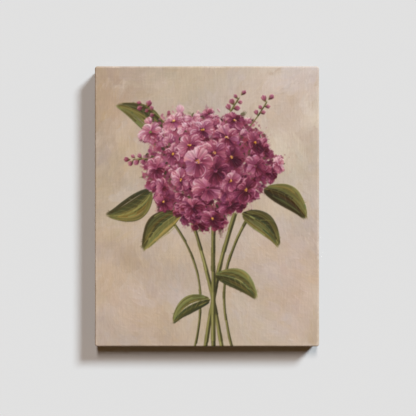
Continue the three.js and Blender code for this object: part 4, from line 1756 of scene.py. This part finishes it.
@dataclass(frozen=True)
class PrimedCotton(Finish):
    """Cotton duck, woven plain and primed with acrylic gesso: chalky off-white, its threads half filled,
    with painted shade in the hollows and yellow from handling."""

    name: str = "gesso_primed_cotton"
    thread_pitch: float = 1.1  # 0.7 mm threads, drawn coarser so that they show
    depth: float = 0.09
    stain: float = 36

    def draw(self, add: Adder) -> Socket:
        """White, with painted shade in the hollows of the weave, and slow stains.

        Args:
            add: Adds a node.

        Returns:
            The shader.
        """
        weave, slow = plain_weave(add, self.thread_pitch, 0.8)
        place = add("TexCoord", take="Object")
        stain = add("TexNoise", place, Scale=per_metre(self.stain), Detail=5.0, Roughness=0.6)
        # the stains are the cloth's own; the weave term darkens its hollows, a painted shade
        stains_and_hollow_shade = add("Math MULTIPLY_ADD", stain, 0.8, -0.03)
        stains_and_hollow_shade = add("Math MULTIPLY_ADD", weave, 0.28, stains_and_hollow_shade)
        stains_and_hollow_shade = add("Math MULTIPLY_ADD", slow, 0.25, stains_and_hollow_shade)
        stops = ((0.1, "#b3a995"), (0.4, "#cdc5b5"), (0.65, "#ddd7c9"), (0.95, "#e8e3d7"))
        colour = add("ValToRGB", stains_and_hollow_shade, stops=stops)
        threads = add("Bump", Height=weave, Distance=self.depth * MM)
        return add("BsdfPrincipled", Base_Color=colour, Roughness=0.82, Normal=threads, IOR=1.45)


@dataclass(frozen=True)
class RawCotton(Finish):
    """Unbleached cotton duck: buff yarn with darker flecks of seed, fuzzy, open between the threads."""

    name: str = "unbleached_cotton"
    thread_pitch: float = 1.1  # 0.7 mm threads, drawn coarser so that they show
    depth: float = 0.16
    cloud: float = 42
    seed: float = 3.8  # spacing of the places where a fleck of seed may be
    husk: str = "#6d5636"

    def draw(self, add: Adder) -> Socket:
        """Buff threads, painted shade in the gaps between them, and scattered flecks.

        Args:
            add: Adds a node.

        Returns:
            The shader.
        """
        weave, slow = plain_weave(add, self.thread_pitch, 0.9)
        place = add("TexCoord", take="Object")
        # darker between the threads: painted shade in the gaps; slow and sized are the yarn's own tone
        tone = add("Math MULTIPLY_ADD", weave, 0.36, -0.18)
        tone = add("Math MULTIPLY_ADD", slow, 0.6, tone)
        sized = add("TexNoise", place, Scale=per_metre(self.cloud), Detail=4.0)
        tone = add("Math MULTIPLY_ADD", sized, 0.6, tone)
        stops = ((0.1, "#8f7c5c"), (0.42, "#bba981"), (0.72, "#d3c39f"), (1.0, "#e2d6b9"))
        yarn = add("ValToRGB", tone, stops=stops)
        specks = add("TexVoronoi", place, Scale=per_metre(self.seed), take=None)
        few = add("Math GREATER_THAN", specks["Color"], 0.6)
        fleck = add("MapRange", specks["Distance"], 0.06, 0.14, 0.75, 0.0)
        fleck = add("Math MULTIPLY", fleck, few)
        colour = add("Mix", fleck, A_Color=yarn, B_Color=rgba(self.husk), data_type="RGBA", take=2)
        threads = add("Bump", Height=weave, Distance=self.depth * MM)
        sockets = dict(Base_Color=colour, Roughness=0.92, Normal=threads)
        return add("BsdfPrincipled", Sheen_Weight=0.25, Sheen_Roughness=0.6, **sockets)


class Along(Enum):
    """The axis that a length of wood runs along, with its own axis and the one across it."""

    LEVEL = (0, 2)
    UPRIGHT = (2, 0)


@dataclass(frozen=True)
class PlanedPine(Finish):
    """Planed pine, unfinished: soft pale earlywood, narrow amber latewood lines that stand up a little
    after planing, and a small knot that the lines flow round."""

    name: str
    along: Along = Along.LEVEL
    pith: Pair = (60.0, 38.0)  # across the bar and behind its back
    knot: Pair = (400.0, 0.0)  # along and across
    drift: float = 0.02  # slope of the grain
    ring: float = 2.6  # growth ring spacing
    sway: float = 17  # width over which the rings wander
    fibre: float = 0.45  # bundles of fibres, drawn coarser than the real ones so that they show
    cloud: float = 33
    depth: float = 0.06
    heart: str = "#7b4f27"

    def draw(self, add: Adder) -> Socket:
        """Rings about the pith: the distance from it, warped by chance and the knot, in steps of a ring.

        Args:
            add: Adds a node.

        Returns:
            The shader.
        """
        scaled = add("VectorMath SCALE", add("TexCoord", take="Object"), Scale=per_metre(1))
        split = add("SeparateXYZ", scaled, take=None)
        run, across, depth = split[self.along.value[0]], split[self.along.value[1]], split[1]
        drawn = [add("Math MULTIPLY", run, share) for share in (0.012, 0.04)]
        slow = add("TexNoise", add("CombineXYZ", drawn[0], across, depth), Scale=1 / self.sway, Detail=2.0)
        fibre = add("TexNoise", add("CombineXYZ", drawn[1], across, depth), Scale=1 / self.fibre, Detail=5.0)
        off = [add("Math SUBTRACT", value, at) for value, at in zip((run, across), self.knot)]
        squashed = add("Math MULTIPLY", off[0], 0.55)
        near = add("VectorMath LENGTH", add("CombineXYZ", squashed, off[1]), take="Value")
        flow = add("MapRange", near, 1.0, 13.0, 7.5, 0.0, interpolation_type="SMOOTHERSTEP")
        side = add("Math MULTIPLY_ADD", run, self.drift, across)
        side = add("Math ADD", side, self.pith[0])
        behind = add("Math ADD", depth, self.pith[1])
        radius = add("VectorMath LENGTH", add("CombineXYZ", side, behind), take="Value")
        radius = add("Math MULTIPLY_ADD", slow, 9.0, radius)
        radius = add("Math ADD", radius, flow)
        year = add("Math FRACT", add("Math DIVIDE", radius, self.ring))
        stops = ((0.0, "#dfc190"), (0.5, "#dcba84"), (0.82, "#c79c60"), (0.94, "#b58649"), (1.0, "#dcbd8a"))
        wood = add("ValToRGB", year, stops=stops)
        cloud = add("TexNoise", scaled, Scale=1 / self.cloud, Detail=3.0)
        tone = add("Math MULTIPLY_ADD", cloud, 0.3, 0.68)
        tone = add("Math MULTIPLY_ADD", fibre, 0.34, tone)
        toned = add("VectorMath SCALE", wood, Scale=tone)
        heart = add("MapRange", near, 2.2, 4.2, 0.85, 0.0, interpolation_type="SMOOTHSTEP")
        colour = add("Mix", heart, A_Color=toned, B_Color=rgba(self.heart), data_type="RGBA", take=2)
        ridge = add("Math MULTIPLY_ADD", fibre, 0.6, year)
        planed = add("Bump", Height=ridge, Distance=self.depth * MM)
        rough = add("Math MULTIPLY_ADD", fibre, 0.2, 0.58)
        return add("BsdfPrincipled", Base_Color=colour, Roughness=rough, Normal=planed)


@dataclass(frozen=True)
class SawnBeech(Finish):
    """Beech, sawn into wedges: pinkish, close-grained, dotted with short darker rays."""

    name: str = "sawn_beech"
    ray: float = 1.6
    cloud: float = 11
    saw_mark: float = 1.3
    depth: float = 0.03

    def draw(self, add: Adder) -> Socket:
        """A pale ground with short flecks along the grain, and the saw's faint ridges.

        Args:
            add: Adds a node.

        Returns:
            The shader.
        """
        place = add("TexCoord", take="Object")
        rays = add("TexVoronoi", place, Scale=per_metre(self.ray))
        fleck = add("MapRange", rays, 0.05, 0.4, -0.22, 0.0)
        tone = add("Math ADD", add("TexNoise", place, Scale=per_metre(self.cloud), Detail=4.0), fleck)
        colour = add("ValToRGB", tone, stops=((0.2, "#b98d5e"), (0.5, "#d9b98a"), (0.8, "#e8d0a6")))
        bands = per_metre(self.saw_mark) * math.tau / 20  # at a scale of 1 the wave is tau / 20 long
        saw = add("TexWave", place, Scale=bands, Distortion=3.0, Detail=2.0, take="Fac")
        ridges = add("Bump", Height=saw, Distance=self.depth * MM)
        return add("BsdfPrincipled", Base_Color=colour, Roughness=0.72, Normal=ridges)


@dataclass(frozen=True)
class BareMetal(Finish):
    """Plated steel: a metal's mirror, blurred by fine scratches and dulled in clouds.

    Galvanised wire is blue-grey and drawn; brass plate is rolled, yellow, and browner where it tarnishes.
    """

    bright: str = "#c3c6c9"
    dull: str = "#84888c"
    rough: float = 0.34
    cloud: float = 2.4
    scratch: float = 0.19  # width of the scratches, drawn coarser so that they show
    depth: float = 0.012
    scratch_axis: Triple = (0.1, 1.0, 1.0)

    def draw(self, add: Adder) -> Socket:
        """Bright metal clouded with the dull tone, rougher there, and scratched along one axis.

        Args:
            add: Adds a node.

        Returns:
            The shader.
        """
        place = add("TexCoord", take="Object")
        cloud = add("TexNoise", place, Scale=per_metre(self.cloud), Detail=5.0)
        colour = add("ValToRGB", cloud, stops=((0.3, self.dull), (0.62, self.bright)))
        along = add("Mapping", place, Scale=self.scratch_axis)
        scratch = add("TexNoise", along, Scale=per_metre(self.scratch), Detail=2.0)
        rough = add("Math MULTIPLY_ADD", cloud, -0.2, self.rough + 0.1)
        rough = add("Math MULTIPLY_ADD", scratch, 0.15, rough)
        scratches = add("Bump", Height=scratch, Distance=self.depth * MM)
        return add("BsdfPrincipled", Base_Color=colour, Metallic=1.0, Roughness=rough, Normal=scratches)


@dataclass(frozen=True)
class MouldedRubber(Finish):
    """Moulded grey rubber: matt, faintly pebbled, with pale dust in the pits."""

    name: str = "moulded_rubber"
    dust: float = 6.2
    pebble: float = 0.6
    depth: float = 0.04

    def draw(self, add: Adder) -> Socket:
        """Mid grey with dust, and a fine pebble as bump.

        Args:
            add: Adds a node.

        Returns:
            The shader.
        """
        place = add("TexCoord", take="Object")
        dust = add("TexNoise", place, Scale=per_metre(self.dust), Detail=4.0)
        colour = add("ValToRGB", dust, stops=((0.35, "#77746f"), (0.7, "#97938c")))
        grit = add("TexNoise", place, Scale=per_metre(self.pebble), Detail=3.0)
        pebble = add("Bump", Height=grit, Distance=self.depth * MM)
        return add("BsdfPrincipled", Base_Color=colour, Roughness=0.78, Normal=pebble, IOR=1.52)


@dataclass(frozen=True)
class MattWall(Finish):
    """Matt emulsion on a smooth wall. It is seen from its room side only, so that the back of the picture
    shows in views from behind."""

    name: str = "matt_emulsion"
    colour: str = "#e4e4e3"

    def draw(self, add: Adder) -> Socket:
        """One pale tone, and nothing at all on the wall's far side."""
        paint = add("BsdfPrincipled", Base_Color=rgba(self.colour), Roughness=1.0, Specular_IOR_Level=0.0)
        return add("MixShader", add("NewGeometry", take="Backfacing"), paint, add("BsdfTransparent"))


# ---- The woodwork and the fixings ----


class Dressed:
    """Nodes of the frame that keep their shape: a finish for each start of their names."""

    FINISHES: dict[str | tuple[str, ...], Finish] = {}

    def dress(self) -> None:
        """Gives each node its material, and reports it."""
        for start, finish in self.FINISHES.items():
            material = finish.material()
            for node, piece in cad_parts.items():
                if node.startswith(start):
                    for slot in piece.material_slots:
                        slot.link = "OBJECT"
                        slot.material = material
                    LOG.info("%s: %s", node, material.name)


class Stretcher(Dressed):
    """The four pine bars, each cut from its own board, and the beech keys in their corners."""

    FINISHES = {
        f"stretcher_bar_{side}": PlanedPine(f"planed_pine_{side}", *board)
        for side, *board in (
            ("top", Along.LEVEL, (20, 46), (-47, 17), 0.05),
            ("bottom", Along.LEVEL, (260, 22), (62, -196), -0.03),
            ("left", Along.UPRIGHT, (150, 30), (-121, -82), 0.04, 2.2),
            ("right", Along.UPRIGHT, (-58, 60), (500, 0), -0.05, 3.0),
        )
    } | {"key_": SawnBeech()}


class Fixings(Dressed):
    """The staples, the hanger with its nails, and the bumpers."""

    FINISHES = {
        "staple_": BareMetal("galvanised_wire"),
        ("sawtooth_", "hanger_"): BareMetal("brass_plate", "#d3ae66", "#9b763c", 0.3, cloud=3.4),
        "bumper_": MouldedRubber(),
    }


# ---- The studio ----


@dataclass(frozen=True)
class Sun:
    """A soft, distant light."""

    name: str
    toward: Triple  # where it comes from
    share: Triple  # linear colour that it gives a white surface square to y
    spread: float  # angle that it spreads over, degrees
    bounces: int

    def hang(self) -> None:
        """Adds the light. Its power is pi x share over the cosine of its angle to y."""
        direction, most = Vector(self.toward).normalized(), max(self.share)
        lamp = bpy.data.lights.new(self.name, "SUN")
        lamp.energy = math.pi * most / abs(direction.y)
        lamp.color = [part / most for part in self.share]
        lamp.angle = math.radians(self.spread)
        lamp.cycles.max_bounces = self.bounces
        made = bpy.data.objects.new(self.name, lamp)
        made.rotation_euler = direction.to_track_quat("Z", "Y").to_euler()
        bpy.context.scene.collection.objects.link(made)


@dataclass
class Studio:
    """The wall and floor of a pale room, its lights, and the camera straight in front of the picture."""

    STRIP = (0.35, 0.43, 0.51, 0.59, 0.67)  # slopes down which a tall, narrow strip light shines

    wrap: Wrap
    wall_half: float = 1000
    floor_drop: float = 1550
    pale: str = "#e0e0e0"
    image: int = 416  # pixels on a side
    picture_middle: Pair = (207.0, 206.35)  # where it stands in the image, in pixels
    picture_width: float = 224.2  # in pixels
    lens: float = 100
    sensor: float = 36
    lights: tuple[Sun, ...] = (
        Sun("window", (0.86, -1, 0.90), (0.516, 0.580, 0.632), 14, 0),
        *(Sun(f"strip_{slope:.2f}", (0.0, -1, slope), (0.0735, 0.0680, 0.0650), 7, 1) for slope in STRIP),
        Sun("behind", (-0.45, 1, 0.40), (0.35, 0.345, 0.34), 20, 0),
        Sun("behind_fill", (0.3, 1, -0.2), (0.20, 0.20, 0.20), 120, 1),
    )
    fill: Triple = (0.085, 0.046, 0.017)  # linear
    mirrored: Triple = (0.42, 0.42, 0.41)  # linear

    def build(self) -> None:
        """Builds the room, then lights it and sets up the camera."""
        self._room()
        for light in self.lights:
            light.hang()
        self._world()
        self._camera()

    @staticmethod
    def light_back(pieces: list[Piece]) -> None:
        """Keeps the lights behind the wall to the back of the picture, so that they do nothing in front.

        Args:
            pieces: Those seen from behind.
        """
        back = bpy.data.collections.new("back_of_picture")
        for piece in pieces:
            back.objects.link(piece)
        for name in ("behind", "behind_fill"):
            bpy.data.objects[name].light_linking.receiver_collection = back

    def _room(self) -> None:
        """The wall at y = 0, and the floor that it stands on. Lights and mirrored rays pass the wall by."""
        side, bottom = self.wall_half, -self.floor_drop
        paint = MattWall().material()
        edges = {"wall": ((0, bottom), (0, side)), "floor": ((-side, bottom), (0, bottom))}
        for name, ends in edges.items():
            skin = Skin()
            skin.add_grid(np.array([[(x, *end) for end in ends] for x in (-side, side)], float))
            made = skin.build(name, [paint])
            made.visible_shadow = made.visible_glossy = False
            made.visible_diffuse = name == "wall"
            made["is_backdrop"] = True

    def _world(self) -> None:
        """A faint even fill. The camera sees it as the wall's own tone, and metal mirrors a lit room."""
        world = bpy.data.worlds.new("room")
        bpy.context.scene.world = world
        world.use_nodes = True
        world.node_tree.nodes.clear()
        add = partial(add_node, world.node_tree)
        path = add("LightPath", take=None)
        fill, room = (add("Background", (*tone, 1.0)) for tone in (self.fill, self.mirrored))
        shown = add("MixShader", path["Is Glossy Ray"], fill, room)
        shown = add("MixShader", path["Is Camera Ray"], shown, add("Background", rgba(self.pale)))
        add("OutputWorld", shown, take=None)

    def _camera(self) -> None:
        """Square to the wall, as far off as puts the picture's face at its size in the image."""
        data = bpy.data.cameras.new("camera")
        data.lens, data.sensor_width = self.lens, self.sensor
        data.clip_start, data.clip_end = 0.01, 20
        made = bpy.data.objects.new("camera", data)
        scale = 2 * self.wrap.half[0] / self.picture_width
        off_x, off_y = (self.image / 2 - place for place in self.picture_middle)
        away = self.image * scale / 2 / (self.sensor / 2 / self.lens)
        place = off_x * scale, self.wrap.front - away, self.wrap.centre_z - off_y * scale
        made.location = Vector(place) * MM
        made.rotation_euler = (math.pi / 2, 0, 0)
        bpy.context.scene.collection.objects.link(made)
        bpy.context.scene.camera = made
        bpy.context.scene.view_settings.view_transform = "Standard"


# ---- Assembly ----


def main() -> None:
    """Builds the room, then the picture round its frame, and works out how big the whole has become."""
    logging.basicConfig(level=logging.INFO, format="%(message)s")
    wrap = Wrap.from_frame("canvas")
    studio = Studio(wrap)
    studio.build()

    paint = Paint(wrap.half, SEED)
    GardenPiece(paint).render()
    LOG.info("painted: %d by %d cells", *paint.shape)
    film = PaintFilm(wrap, paint).build(OilPaint().material())

    primed, raw = PrimedCotton().material(), RawCotton().material()
    canvas = StretchedCloth(wrap, paint.grain, paint.rng)
    cloth, folds, threads = canvas.build(primed, raw), canvas.folds(primed), canvas.loose_threads(raw)
    for piece in (cloth, threads, *folds, *film):
        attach(piece, BODY)
        LOG.info("%s: %d faces", piece.name, len(piece.data.polygons))
    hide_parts("canvas")
    on_cloth = [*film, *folds, threads]
    wrap.flat_size()

    Stretcher().dress()
    Fixings().dress()
    fixed = [part for node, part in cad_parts.items() if node != "canvas"]
    studio.light_back([cloth, threads, *folds, *fixed])
    boxes = {"cad": CAD_BOX, "visual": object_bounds()}
    json.dumps({name: [list(corner) for corner in box] for name, box in boxes.items()})


if __name__ == "__main__":
    main()
